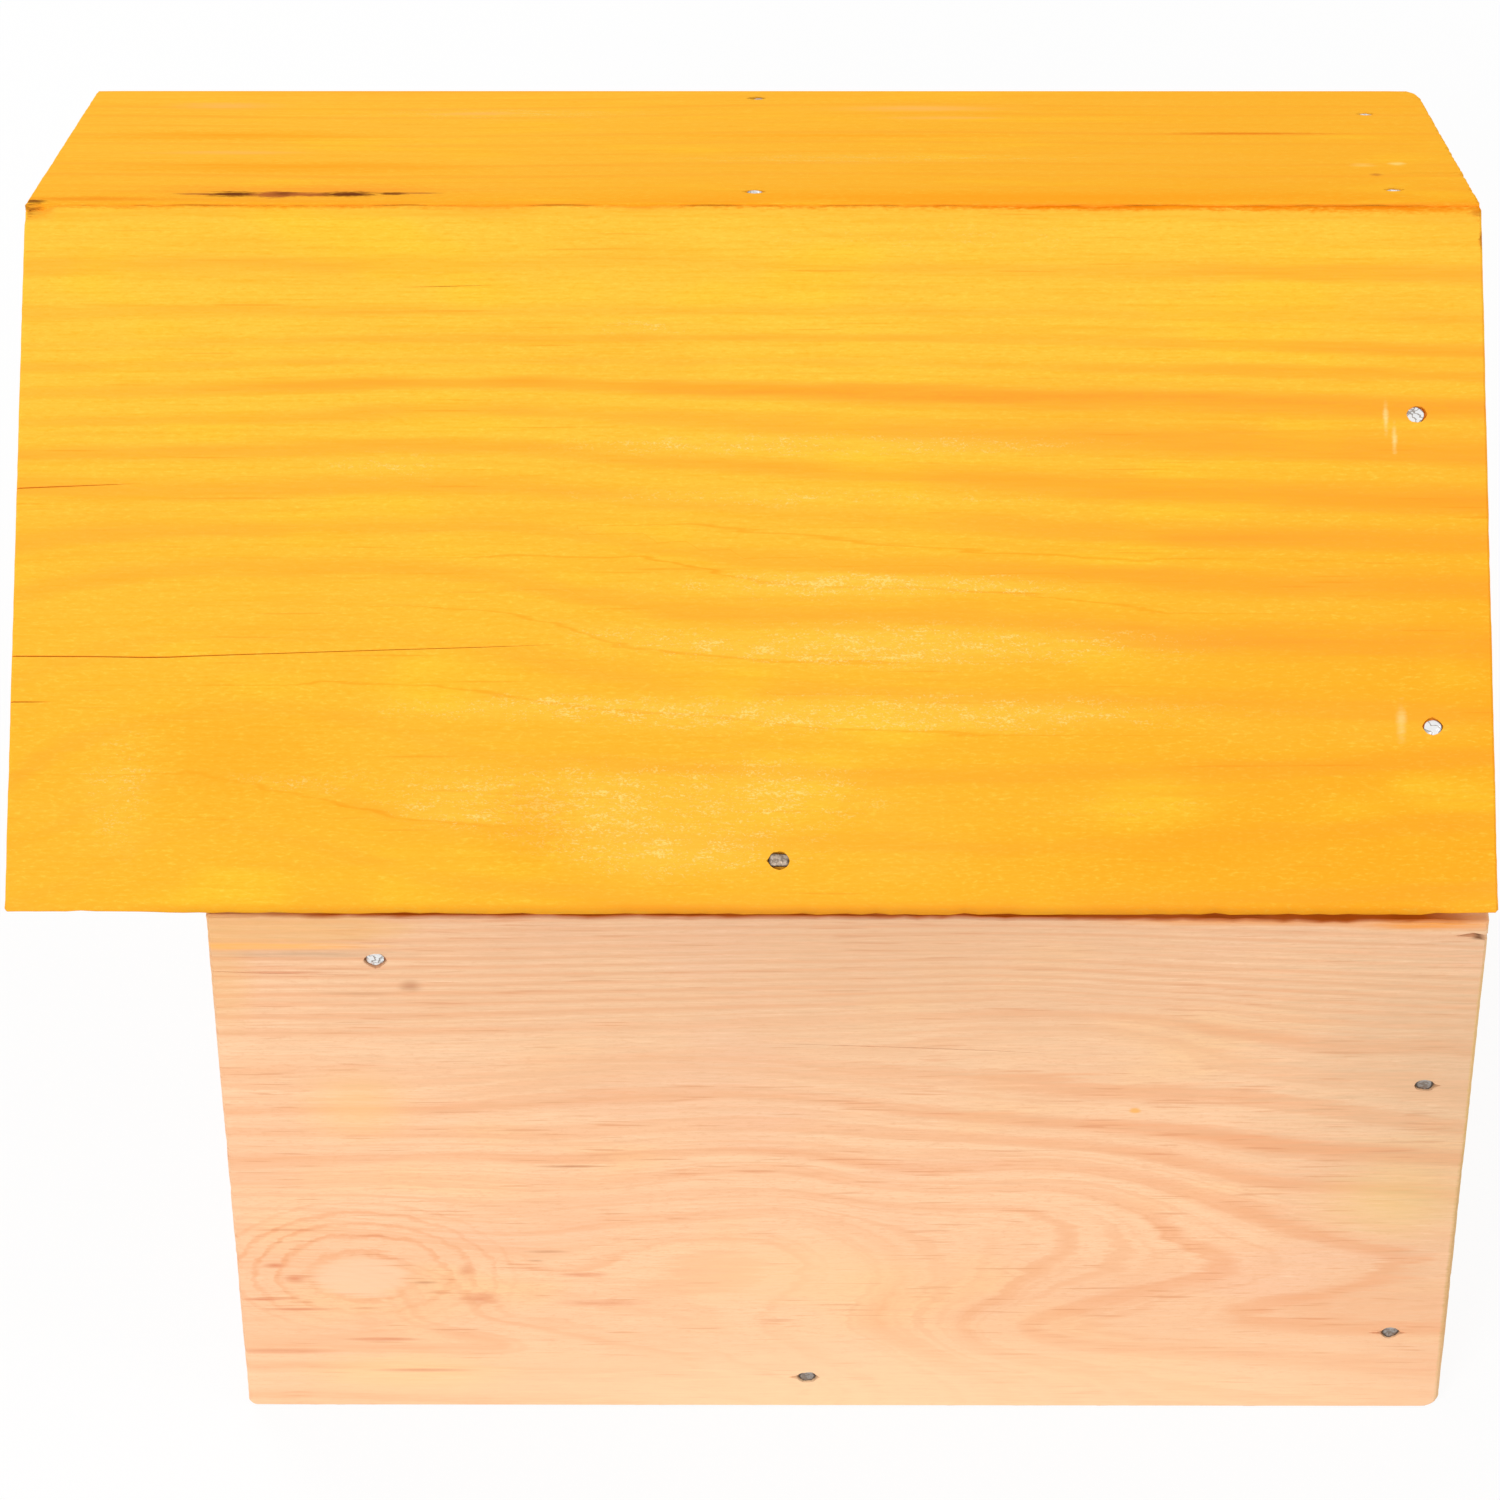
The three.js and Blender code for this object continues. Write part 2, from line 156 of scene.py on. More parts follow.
# The right wall is a sawn and planed pine board on edge. Its grain runs from front to back: close
# lines above, a knot near the front foot, and tall arches and a fold behind. Four brads hold it.
class Signal:
    """A value or colour in a material, on which arithmetic adds Math nodes."""

    def __init__(self, socket):
        self.socket = socket

    def node(self, kind, settings=None, inputs=None, output=0):
        """Adds any node: first its settings, then what its sockets get, by name or number."""
        tree = self.socket.id_data
        made = tree.nodes.new(kind)
        for key, value in (settings or {}).items():
            setattr(made, key, value)
        for key, value in (inputs or {}).items():
            if isinstance(value, Signal):
                tree.links.new(value.socket, made.inputs[key])
            else:
                made.inputs[key].default_value = value
        return Signal(made.outputs[output])

    def math(self, operation, *others):
        return self.node("ShaderNodeMath", {"operation": operation}, dict(enumerate((self, *others))))

    def __add__(self, other):
        return self.math("ADD", other)

    def __sub__(self, other):
        return self.math("SUBTRACT", other)

    def __rsub__(self, other):
        return self.node("ShaderNodeMath", {"operation": "SUBTRACT"}, {0: other, 1: self})

    def __mul__(self, other):
        return self.math("MULTIPLY", other)

    def __truediv__(self, other):
        return self.math("DIVIDE", other)

    __radd__ = __add__
    __rmul__ = __mul__

    def ease(self, low, high):
        """Nought below low, one above high, with a soft step between."""
        return self.node("ShaderNodeMapRange", {"interpolation_type": "SMOOTHSTEP"},
                         {0: self, 1: low, 2: high, 3: 0.0, 4: 1.0})

    def shift(self, operation, amounts):
        """Vector arithmetic with a fixed vector or another vector."""
        return self.node("ShaderNodeVectorMath", {"operation": operation}, {0: self, 1: amounts})

    def mottle(self, stretch, detail=2.0, rough=0.5, at=(0, 0, 0)):
        """Noise between 0 and 1. It changes about stretch times in a millimetre, along each axis."""
        spread = self.shift("MULTIPLY", stretch).shift("ADD", at)
        return spread.node("ShaderNodeTexNoise", {}, {"Vector": spread, "Scale": 1.0, "Detail": detail,
                                                      "Roughness": rough})

    def lines(self, where, times, drift):
        """Fine lines along the rings, this many times as many, which drift a little from place to place."""
        apart = self.node("ShaderNodeCombineXYZ", {}, {0: self * times, 1: 0.0, 2: 0.0})
        return apart.shift("ADD", where.shift("MULTIPLY", drift)).mottle((1, 1, 1), 2.0, 0.6)

    def marks(self, marks, rough_edge, grit):
        """A layer for each mark: where it is, how far it reaches, how soft its rim, its paint, how strong."""
        return [(self.spot(centre, reach, soft, rough_edge) * grit * amount, tint)
                for centre, reach, soft, tint, amount in marks]

    def spot(self, centre, reach, soft, rough_edge):
        """One at a place in millimetres, and nought beyond the reach along each axis."""
        far = self.shift("SUBTRACT", centre).shift("DIVIDE", reach)
        far = far.node("ShaderNodeVectorMath", {"operation": "LENGTH"}, {0: far}, "Value")
        return (far + rough_edge).ease(1, 1 - soft)

    def mix(self, under, over):
        """This much of one colour over another."""
        return self.node("ShaderNodeMix", {"data_type": "RGBA", "clamp_factor": True},
                         {0: self, 6: under, 7: over}, 2)

    def under(self, *layers):
        """This colour with others over it, each given by how much of it and its paint."""
        colour = self
        for amount, tint in layers:
            colour = amount.mix(colour, paint(*tint))
        return colour


def new_finish(name):
    """An empty material, its shader, and the place on the piece in millimetres."""
    finish = bpy.data.materials.new(name)
    finish.use_nodes = True
    tree = finish.node_tree
    where = Signal(tree.nodes.new("ShaderNodeTexCoord").outputs["Object"])
    return finish, tree.nodes["Principled BSDF"], where.shift("MULTIPLY", (1000, 1000, 1000))


def written(signal, name):
    """What the piece's mesh says at each point under a name."""
    return signal.node("ShaderNodeAttribute", {"attribute_name": name}, {}, "Fac")


def finish_with(shader, colour, roughness, relief, height, shine):
    """Joins a finish's colour, roughness and relief, so many millimetres high, to its shader."""
    tree = shader.id_data
    shader.inputs["Specular IOR Level"].default_value = shine
    tree.links.new(colour.socket, shader.inputs["Base Color"])
    tree.links.new(roughness.socket, shader.inputs["Roughness"])
    bump = relief.node("ShaderNodeBump", {}, {"Strength": 0.6, "Distance": height * MM, "Height": relief},
                       "Normal")
    tree.links.new(bump.socket, shader.inputs["Normal"])


def fibres_along(axis, along, across):
    """How often a streak changes in a millimetre: seldom along the grain, often across it."""
    return tuple(along if part == axis else across for part in range(3))


def raw_pine(name, axis, seed, marks=()):
    """Raw pine: soft bands of late wood, a knot's rings, fine fibres, short resin streaks and marks."""
    finish, shader, where = new_finish(name)
    a, b, c = at = (seed * 7.3, seed * 3.1, seed * 5.7)

    def grained(along, across, *look):
        return where.mottle(fibres_along(axis, along, across), *look)

    wander = grained(0.03, 0.25, 2.0, 0.5, at) - 0.5
    ragged = grained(0.11, 1.5, 2.0, 0.6, at) - 0.5
    fine = grained(0.2, 3.6, 3.0, 0.7, at)
    coarse = grained(0.03, 0.8, 3.0, 0.55, at)
    patches = grained(0.02, 0.05, 2.0, 0.5, at)
    hue = grained(0.03, 0.07, 2.0, 0.5, (b, a, c))
    ring = written(where, "ring") + wander * 0.22 + ragged * 0.22
    strong = written(where, "band")
    off = ((ring + 0.5).math("FRACT") - 0.5) / (written(where, "narrow") * (0.65 + strong * 0.9))
    band = off.ease(-0.36, -0.04) * off.ease(0.30, 0.05) * strong * (0.5 + coarse)
    lines = ring.lines(where, 5.2, fibres_along(axis, 0.012, 0.03))
    wavy = where.mottle((0.3, 0.3, 0.3), 3.0, 0.6, at) - 0.5
    turn = (written(where, "knot") + wavy * 0.9 + ragged * 0.6 + 0.5).math("FRACT") - 0.5
    rim = turn.ease(-0.30, -0.03) * turn.ease(0.18, 0.03) * written(where, "knot_band")
    band = band + rim * (0.1 + coarse * 1.1)
    pores = grained(0.9, 4.5, 2.0, 0.7, (c, b, a))
    resin = grained(0.11, 2.6, 1.0, 0.4, (c, a, b))
    crowd = grained(0.035, 0.16, 2.0, 0.5, (a, c, b)) - 0.5
    streak = (resin + band * 0.07 + crowd * 0.26).ease(0.65, 0.76)
    colour = patches.ease(0.35, 0.65).mix(paint(250, 204, 162), paint(243, 194, 153)).under(
        (hue.ease(0.52, 0.72) * 0.55, (253, 205, 146)),
        (hue.ease(0.46, 0.28) * 0.5, (246, 195, 162)),
        (fine.ease(0.42, 0.72) * 0.55, (244, 188, 144)),
        (fine.ease(0.42, 0.22) * 0.45, (255, 222, 187)),
        (coarse.ease(0.5, 0.75) * 0.35, (242, 184, 140)),
        (lines.ease(0.46, 0.68) * 0.45, (238, 174, 127)),
        (pores.ease(0.48, 0.72) * 0.6, (238, 180, 136)),
        (band * 0.85, (236, 163, 114)),
        (streak * 0.5, (220, 140, 92)),
        *where.marks(marks, ragged * 0.5, 0.35 + fine * 1.3),
        # Dark orange along the right wall's top arris: stain, with the shade of the gap under the eave
        # painted in.
        (written(where, "stain_and_gap_shade") * (0.7 + coarse * 0.6), (184, 88, 4)))
    finish_with(shader, colour, 0.56 + fine * 0.16, fine * 0.5 + band * 0.3 + coarse * 0.2, 0.10, 0.25)
    return finish


def split_wood(name, tint, dark=(92, 52, 24)):
    """The inside of a split or of a nail's pit, where the wood is bruised, and painted dark for the shade in
    the recess.
    """
    finish, shader, where = new_finish(name)
    darkening = where.mottle((1.2, 0.5, 1.2), 3.0, 0.6)
    finish_with(shader, darkening.mix(paint(*tint), paint(*dark)), 0.7 + darkening * 0.2, darkening, 0.1, 0.15)
    return finish


@contextlib.contextmanager
def editing(piece):
    """Opens a piece's mesh for editing, with all of it selected."""
    bpy.context.view_layer.objects.active = piece
    bpy.ops.object.mode_set(mode="EDIT")
    bpy.ops.mesh.select_all(action="SELECT")
    yield
    bpy.ops.object.mode_set(mode="OBJECT")


def choose(piece):
    """Selects a piece alone."""
    bpy.ops.object.select_all(action="DESELECT")
    piece.select_set(True)
    bpy.context.view_layer.objects.active = piece


def box_of(node):
    """The corners of a CAD node in millimetres."""
    return [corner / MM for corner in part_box(node)]


def ripple(x, y=0, z=0):
    return noise.noise(Vector((x, y, z)))


def block(name, low, high):
    """A block between two corners in millimetres, made by its six faces."""
    centre = [(a + b) / 2 * MM for a, b in zip(low, high)]
    bpy.ops.object.select_all(action="DESELECT")
    bpy.ops.mesh.primitive_cube_add(size=1, location=centre)
    piece = bpy.context.active_object
    piece.name = piece.data.name = name
    piece.scale = [(b - a) * MM for a, b in zip(low, high)]
    bpy.ops.object.transform_apply(location=True, rotation=True, scale=True)
    return piece


def pick(piece, parts, wanted):
    """Selects the edit mesh's vertices, edges or faces that answer to a test, and no others."""
    bpy.ops.mesh.select_mode(type={"verts": "VERT", "edges": "EDGE", "faces": "FACE"}[parts])
    bpy.ops.mesh.select_all(action="DESELECT")
    mesh = bmesh.from_edit_mesh(piece.data)
    for part in getattr(mesh, parts):
        if wanted(part):
            part.select_set(True)
    mesh.select_flush_mode()
    bmesh.update_edit_mesh(piece.data)


def edge_lies(edge, axis):
    run = edge.verts[1].co - edge.verts[0].co
    return abs(run[axis]) > 0.8 * run.length


def divide(piece, step):
    """Divides a block's faces into a fine grid, so that its surface can be worn."""
    with editing(piece):
        for axis in range(3):
            mesh = bmesh.from_edit_mesh(piece.data)
            longest = max(edge.calc_length() for edge in mesh.edges if edge_lies(edge, axis))
            cuts = round(longest / (step[axis] * MM)) - 1
            pick(piece, "edges", lambda edge: edge_lies(edge, axis) and edge.calc_length() > 0.3 * longest)
            if cuts > 0:
                bpy.ops.mesh.subdivide(number_cuts=cuts)


def wear(piece, arris, step, depth, seed, faces=((1, 0, 0), (0, 1, 0), (0, 0, 1))):
    """Takes the sharp edges off a sawn block and wears them unevenly, with small chips."""
    flat, round_enough = 0.02, 0.25  # how far a normal turns off a face before wear starts, and is full
    bevel = piece.modifiers.new("arris", "BEVEL")
    bevel.width = arris * MM
    bevel.segments = 2
    bevel.limit_method = "ANGLE"
    bevel.angle_limit = math.radians(40)
    bpy.context.view_layer.objects.active = piece
    bpy.ops.object.modifier_apply(modifier=bevel.name)
    divide(piece, step)
    for vertex in piece.data.vertices:
        out = vertex.normal
        bare = 1 - max(abs(out.dot(Vector(face))) for face in faces)
        if bare > flat:
            spot = vertex.co / MM
            slow = noise.noise(spot * 0.11 + Vector((seed, 0, 0))) + 0.3
            quick = noise.noise(spot * 0.95 + Vector((0, seed, 0)))
            chip = max(0, noise.noise(spot * 0.45 + Vector((0, 0, seed))) - 0.35) * 3
            amount = max(0, 0.35 + 0.4 * slow + 0.5 * quick + chip)
            vertex.co -= out * min(1, bare / round_enough) * amount * depth * MM


def carve(piece, cutters):
    """Cuts shapes out of a piece. The cut faces keep the cutters' own finish."""
    for cutter in cutters:
        cut = piece.modifiers.new("cut", "BOOLEAN")
        cut.operation = "DIFFERENCE"
        cut.solver = "EXACT"
        cut.material_mode = "TRANSFER"
        cut.object = cutter
        bpy.context.view_layer.objects.active = piece
        bpy.ops.object.modifier_apply(modifier=cut.name)
        bpy.data.objects.remove(cutter)


def gouge(face, path, width, depth, finish, floor=0.1):
    """A cutter for a split or a pit. It follows a path on a face, given as places along and across."""
    origin, along, across, out = face
    pieces, above, thinnest, shallowest = 24, 0.6, 0.02, 0.15
    cutter = block("gouge", (-0.5, -0.5, -0.5), (0.5, 0.5, 0.5))
    with editing(cutter):
        pick(cutter, "edges", lambda edge: edge_lies(edge, 0))
        bpy.ops.mesh.subdivide(number_cuts=pieces - 1)
    run, sway, swells = zip(*path)
    for vertex in cutter.data.vertices:
        x, y, z = vertex.co / MM
        place = run[0] + (run[-1] - run[0]) * (x + 0.5)
        middle = np.interp(place, run, sway)
        swell = np.interp(place, run, swells)
        jitter = 0.25 * ripple(place * 0.9, y * 3)
        half = width * max(swell, thinnest) * (y + jitter * width * 0.3) * (floor if z < 0 else 1)
        reach = -depth * max(min(1, swell * 2.8), shallowest) if z < 0 else above
        vertex.co = (origin + along * place + across * (middle + half) + out * reach) * MM
    with editing(cutter):
        bpy.ops.mesh.normals_make_consistent(inside=False)
    cutter.data.materials.append(finish)
    return cutter


def nail_pit(face, along, across, length, radius, depth, finish, skew=0.0):
    """The pit that a nail's head leaves: round, with a point each way along the grain."""
    round_share = [(-0.98, 0.3), (-0.8, 0.6), (-0.5, 0.87), (0, 1), (0.5, 0.87), (0.8, 0.6), (0.98, 0.3)]
    path = [(along + (skew - 0.5) * length, across, 0)]
    path += [(along + place * radius, across, share) for place, share in round_share]
    path += [(along + (skew + 0.5) * length, across, 0)]
    return gouge(face, path, 2 * radius, depth, finish, floor=0.9)


def write_on(piece, name, values):
    """Keeps a number at each point of a mesh, for its finish."""
    kept = piece.data.attributes.new(name, "FLOAT", "POINT")
    kept.data.foreach_set("value", np.asarray(values, dtype=np.float32))


def points_of(piece):
    found = np.zeros(len(piece.data.vertices) * 3)
    piece.data.vertices.foreach_get("co", found)
    return found.reshape(-1, 3) / MM


def grain_through(lines):
    """A smooth surface of ring numbers through lines drawn on a face. It gives each ring's strength too."""
    squeeze, give, spacing = 2.5, 0.2, 12
    jump = -40  # a line goes back further than this only where it starts anew
    knots, values = [], []
    for ring, line in lines.items():
        for start, end in zip(line, [*line[1:], line[-1]]):
            apart = end[0] - start[0]
            steps = max(1, round(abs(apart) / spacing)) if apart > jump else 1
            for share in np.arange(steps) / steps:
                along, across, strength = np.array(start) + (np.array(end) - start) * share
                knots.append((along / squeeze, across))
                values.append((ring, strength))
    knots, values, count = np.array(knots), np.array(values), len(knots)

    def pull(places):
        apart = ((places[:, None] - knots) ** 2).sum(-1)
        return 0.5 * apart * np.log(apart + 1e-9)

    plane = np.c_[np.ones(count), knots]
    system = np.block([[pull(knots) + np.eye(count) * give, plane], [plane.T, np.zeros((3, 3))]])
    weights = np.linalg.solve(system, np.r_[values, np.zeros((3, 2))])

    def at(along, across):
        places = np.c_[along / squeeze, across]
        return (pull(places) @ weights[:count] + np.c_[np.ones(len(places)), places] @ weights[count:]).T

    return at


def write_grain(piece, numbers, along, across):
    """Keeps ring numbers on a board, its bands' strength, and how much narrower than a ring they stay."""
    widest = 5.5  # mm, of a band
    ring, band = numbers(along, across)
    gap = 1 / np.maximum(np.hypot(numbers(along, across + 0.5)[0] - numbers(along, across - 0.5)[0],
                                  numbers(along + 0.5, across)[0] - numbers(along - 0.5, across)[0]), 0.02)
    write_on(piece, "ring", ring)
    write_on(piece, "band", np.clip(band, 0, 1.5) * 0.62)
    write_on(piece, "narrow", np.minimum(1, widest / gap))


def write_knot(piece, along, across, centre, ahead, behind, above, below, lower_side=1.0, rear_side=1.0):
    """Keeps a knot's rings and their strength on a board. The board's own bands pass round it."""
    ring_reach = [0, 1, 1.57, 1.98, 2.37, 2.69, 3.0, 6]  # by the radius of the knot's heart
    run, rise = along - centre[0], across - centre[1]
    run, rise = run / np.where(run > 0, behind, ahead), rise / np.where(rise > 0, above, below)
    far = np.hypot(run, rise)
    rearward, upward = run / np.maximum(far, 0.1), rise / np.maximum(far, 0.1)
    share = np.clip((3.1 - far) / 0.8, 0, 1)
    under = np.clip(0.3 - upward, 0, 1) * np.clip(far - 0.9, 0, 1)
    behind_it = np.clip(rearward, 0, 1) * np.clip(far - 0.9, 0, 1)
    strength = share * np.clip((far - 0.55) / 0.3, 0, 1)
    strength *= (1 - under * (1 - lower_side)) * (1 - behind_it * (1 - rear_side))
    strength *= np.where(far < 1.3, 0.3 + 0.7 * upward ** 2, 1)
    write_on(piece, "knot", np.interp(far, ring_reach, [0, 1, 2, 3, 4, 5, 6, 15]))
    write_on(piece, "knot_band", strength)
    for point, kept in zip(piece.data.attributes["band"].data, 1 - share):
        point.value *= kept


def settle(piece, node, slot, *finishes):
    """Gives a finished piece its materials, shades it, and puts it in the place of its CAD node."""
    piece.data.materials.clear()
    for finish in finishes:
        piece.data.materials.append(finish)
    choose(piece)
    bpy.ops.object.shade_smooth_by_angle(angle=math.radians(32))
    piece.select_set(False)
    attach(piece, "root")
    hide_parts(node)


wall_grid, wall_arris, board_wear = (1.6, 0.8, 0.9), 0.35, 0.22
front_foot_radius, rear_foot_radius = 1.0, 2.0
wall_nails = [(6.18, 5.5), (-41.1, 76.9), (73.62, 13.69), (74.72, 56.6)]  # floor, gable, lower and upper back

# Ring number: places along the wall and up it, in millimetres, and how strong the band is there.
right_wall_lines = {
    -11.5: [(-59, 83.6, .9), (-20, 84.2, .9), (20, 84.5, .9), (50, 84, .9), (80, 83, .9)],
    -6.8: [(-59, 76.8, 1.0), (-30, 77, .9), (0, 78, .7), (30, 78.5, .7), (55, 77, .7), (80, 75.6, .7)],
    -4: [(-59, 72.6, .9), (-35, 73, .9), (0, 73.8, .7), (30, 74.4, .9), (55, 72.4, .9), (80, 70.6, .9)],
    -1: [(-59, 67.6, .7), (-30, 68.2, .9), (0, 69.6, .9), (30, 71, .5), (50, 69.4, .5), (65, 67.2, .7),
         (80, 66.4, .7)],
    0: [(-59, 65, .8), (-35, 65.3, .7), (-10, 66.4, .6), (10, 67.2, .5), (30, 68.6, .9), (41, 68.1, 1),
        (51, 66, 1), (61, 63.4, 1), (80, 62.3, 1)],
    1: [(-59, 58.8, .7), (-30, 59.5, .4), (-14, 61, .5), (1, 60.6, .5), (11, 59.2, .7), (27, 57.5, .9),
        (41, 56, .9), (51, 55.4, .9), (61, 53.4, .9), (71, 51.5, .9), (80, 49.6, .9)],
    2: [(-59, 52, .8), (-36, 52.2, .9), (-25, 53.6, .8), (-14, 54.6, .8), (1, 54.8, .7), (11, 53.4, .7),
        (21, 51.4, 1), (41, 49.4, 1.3), (54, 47.4, 1.4), (61, 46, 1.4), (80, 44.4, 1.3)],
    3: [(-59, 48.7, .5), (-21, 48.6, .5), (-3, 50, .5), (11, 49.2, .6), (31, 47, .8), (41, 45.8, .9),
        (51, 42.6, .9), (59, 40.2, .9), (71, 39, .9), (80, 37.6, .9)],
    4: [(-59, 43.6, .8), (-39, 44.3, .8), (-19, 44.1, .8), (-9, 45.1, .7), (1, 45.3, .8), (11, 43.6, 1),
        (21, 42.6, .8), (31, 43.2, .7), (41, 41.8, .8), (49, 38.6, 1), (56, 35.4, 1.2), (61, 32.6, 1.1),
        (69, 28.8, 1), (75, 26.5, 1), (69, 22.8, 1), (61, 18.9, .9), (56, 16.9, .8), (60, 15.6, .9),
        (68, 14.9, .9), (80, 14.2, .8)],
    5: [(-59, 40.4, .2), (-39, 41, .3), (-19, 39.8, .4), (-4, 42, .6), (4, 42.3, .6), (13, 39.6, .5),
        (25, 38.6, .5), (36, 38.6, .6), (44, 35.6, .8), (48, 30.6, .9), (54, 25.6, .9), (45, 21.2, .8),
        (37, 18.2, .9), (32, 14.6, .9), (37, 11.6, .9), (51, 10.1, .8), (66, 8.6, .8), (80, 7.2, .8)],
    6: [(-30, 35.4, .2), (-12, 37.6, .4), (0, 38.6, .4), (13, 36.4, .4), (28, 35.6, .3), (34, 33.2, .3),
        (35.6, 29.6, .3), (31, 24, .3), (28, 20, .4), (24, 14.6, .6), (27, 10.6, .6), (36, 7.6, .6),
        (43, 2.6, .6)],
    7: [(-6, 34, .4), (4, 35, .4), (12, 31.6, .4), (15.6, 27.6, .4), (15.6, 20.6, .6), (14.4, 14.6, .6),
        (19, 10.6, .6), (26, 5.6, .6), (29, .6, .6)],
    8: [(-24, 25, .4), (-10, 30, .3), (0, 30.4, .3), (6, 27, .2), (4, 19.6, .2), (2, 14, .3), (8, 8.6, .4),
        (14, 3, .4), (-59, 2.6, .7), (-30, 1.2, .7), (-14, .6, .5)],
    9: [(-30, 16, .4), (-20, 13, .4), (-8, 9, .4), (2, 3, .3), (-59, 7.6, .8), (-40, 7.4, .7),
        (-20, 6.4, .3)],
    10: [(-59, 11.4, .7), (-40, 11, .7), (-30, 11.6, .6), (-45, 23, 0)],
}


def wall_board(side, seed):
    """A wall with rounded feet, its outer face, and the highest corner of its CAD node."""
    low, high = box_of(side + "_wall")
    wall = block(side + "_wall_board", low, high)
    with editing(wall):
        for rear, radius in ((False, front_foot_radius), (True, rear_foot_radius)):
            pick(wall, "edges", lambda edge: edge_lies(edge, 0) and edge.verts[0].co.z < 5 * MM
                 and (edge.verts[0].co.y > 0) == rear)
            bpy.ops.mesh.bevel(offset=radius * MM, segments=6, affect="EDGES")
    wear(wall, wall_arris, wall_grid, board_wear, seed)
    outer = high.x if side == "right" else low.x
    face = [Vector(part) for part in ((outer, 0, 0), (0, 1, 0), (0, 0, 1), (math.copysign(1, outer), 0, 0))]
    return wall, face, high


def wall_pits(face, shapes):
    """The four nails' pits in a wall, each with its length, its radius and how far it leans."""
    return [nail_pit(face, *place, length, radius, 0.75, wall_split, skew)
            for place, (length, radius, skew) in zip(wall_nails, shapes)]


def on_wall(outer, marks):
    """Marks on a wall, given by place along and up, then by reach inwards, along and up."""
    return [((outer, along, up), tuple(reach), soft, tint, amount)
            for along, up, *reach, soft, tint, amount in marks]


right_wall, right_wall_face, right_wall_high = wall_board("right", 11)

# The planer took a little off the wall's top arris and more behind, so the gap under the roof widens there.
# The stain ran along this arris when the roof was painted, and its dark orange also paints the shade in the
# gap under the eave.
top_low_places = [-59, -46, 5, 25, 43, 55, 64, 75, 80]
top_low_depths = [.5, .6, .66, .75, .95, 1.05, 1.2, 1.2, 1.1]
top_low_in, top_low_reach, stain_and_gap_shade_reach = 4.6, 7, 0.22


def top_lowered(across, along):
    """How far the top of the right wall lies under the sawn edge."""
    inward = np.clip((across - right_wall_high.x + top_low_in) / top_low_in * 1.6, 0, 1)
    uneven = 1 + 0.3 * ripple(along * 0.2, 6) + 0.22 * ripple(along * 0.7, 2)
    return np.interp(along, top_low_places, top_low_depths) * uneven * inward


for vertex in right_wall.data.vertices:
    x, y, z = vertex.co / MM
    near_top = (z - right_wall_high.z) / top_low_reach + 1
    if near_top > 0:
        vertex.co.z -= top_lowered(x, y) * near_top * MM

# Pits and splits in the walls are painted dark for the shade in them.
wall_split = split_wood("bruised_and_shaded_pine", (118, 80, 52))
carve(right_wall, [
    *wall_pits(right_wall_face, [(3.8, 1.12, -0.1), (2.6, 1.22, 0), (4.4, 1.08, -0.08), (3.0, 1.12, 0.12)]),
    gouge(right_wall_face, [(0, 63.6, 0), (14, 63, 1), (26, 62.4, .8), (36, 61.6, 0)], 0.16, 0.5, wall_split),
    gouge(right_wall_face, [(-59.6, 75.2, 1), (-52, 74.8, .8), (-40, 74.6, 0)], 0.14, 0.5, wall_split),
    gouge(right_wall_face, [(76.2, 81.0, 0), (78.4, 81.2, .7), (80.6, 80.5, 1)], 1.0, 2.6, wall_split, 0.8),
])
places = points_of(right_wall)
across, along, up = places.T
write_grain(right_wall, grain_through(right_wall_lines), along, up + 0.5 * (across - right_wall_high.x))
write_knot(right_wall, along, up, (-45, 23.3), 6.2, 6.6, 4.9, 4.1, 0.35, 0.6)
# Stain along the top arris, with the painted shade of the gap under the eave, fading at both ends.
under_top = [right_wall_high.z - top_lowered(x, y) - z for x, y, z in places]
write_on(right_wall, "stain_and_gap_shade", np.clip(1.2 - np.abs(under_top) / stain_and_gap_shade_reach, 0, 1)
         * np.interp(along, [-64, -54, -46, 73, 78], [0.35, 0.45, 1, 1, 0.35]))
grey_smudge, yellow_smudge = (150, 132, 110), (243, 182, 96)
wall_dash, wall_dash_red = (192, 124, 82), (222, 136, 92)
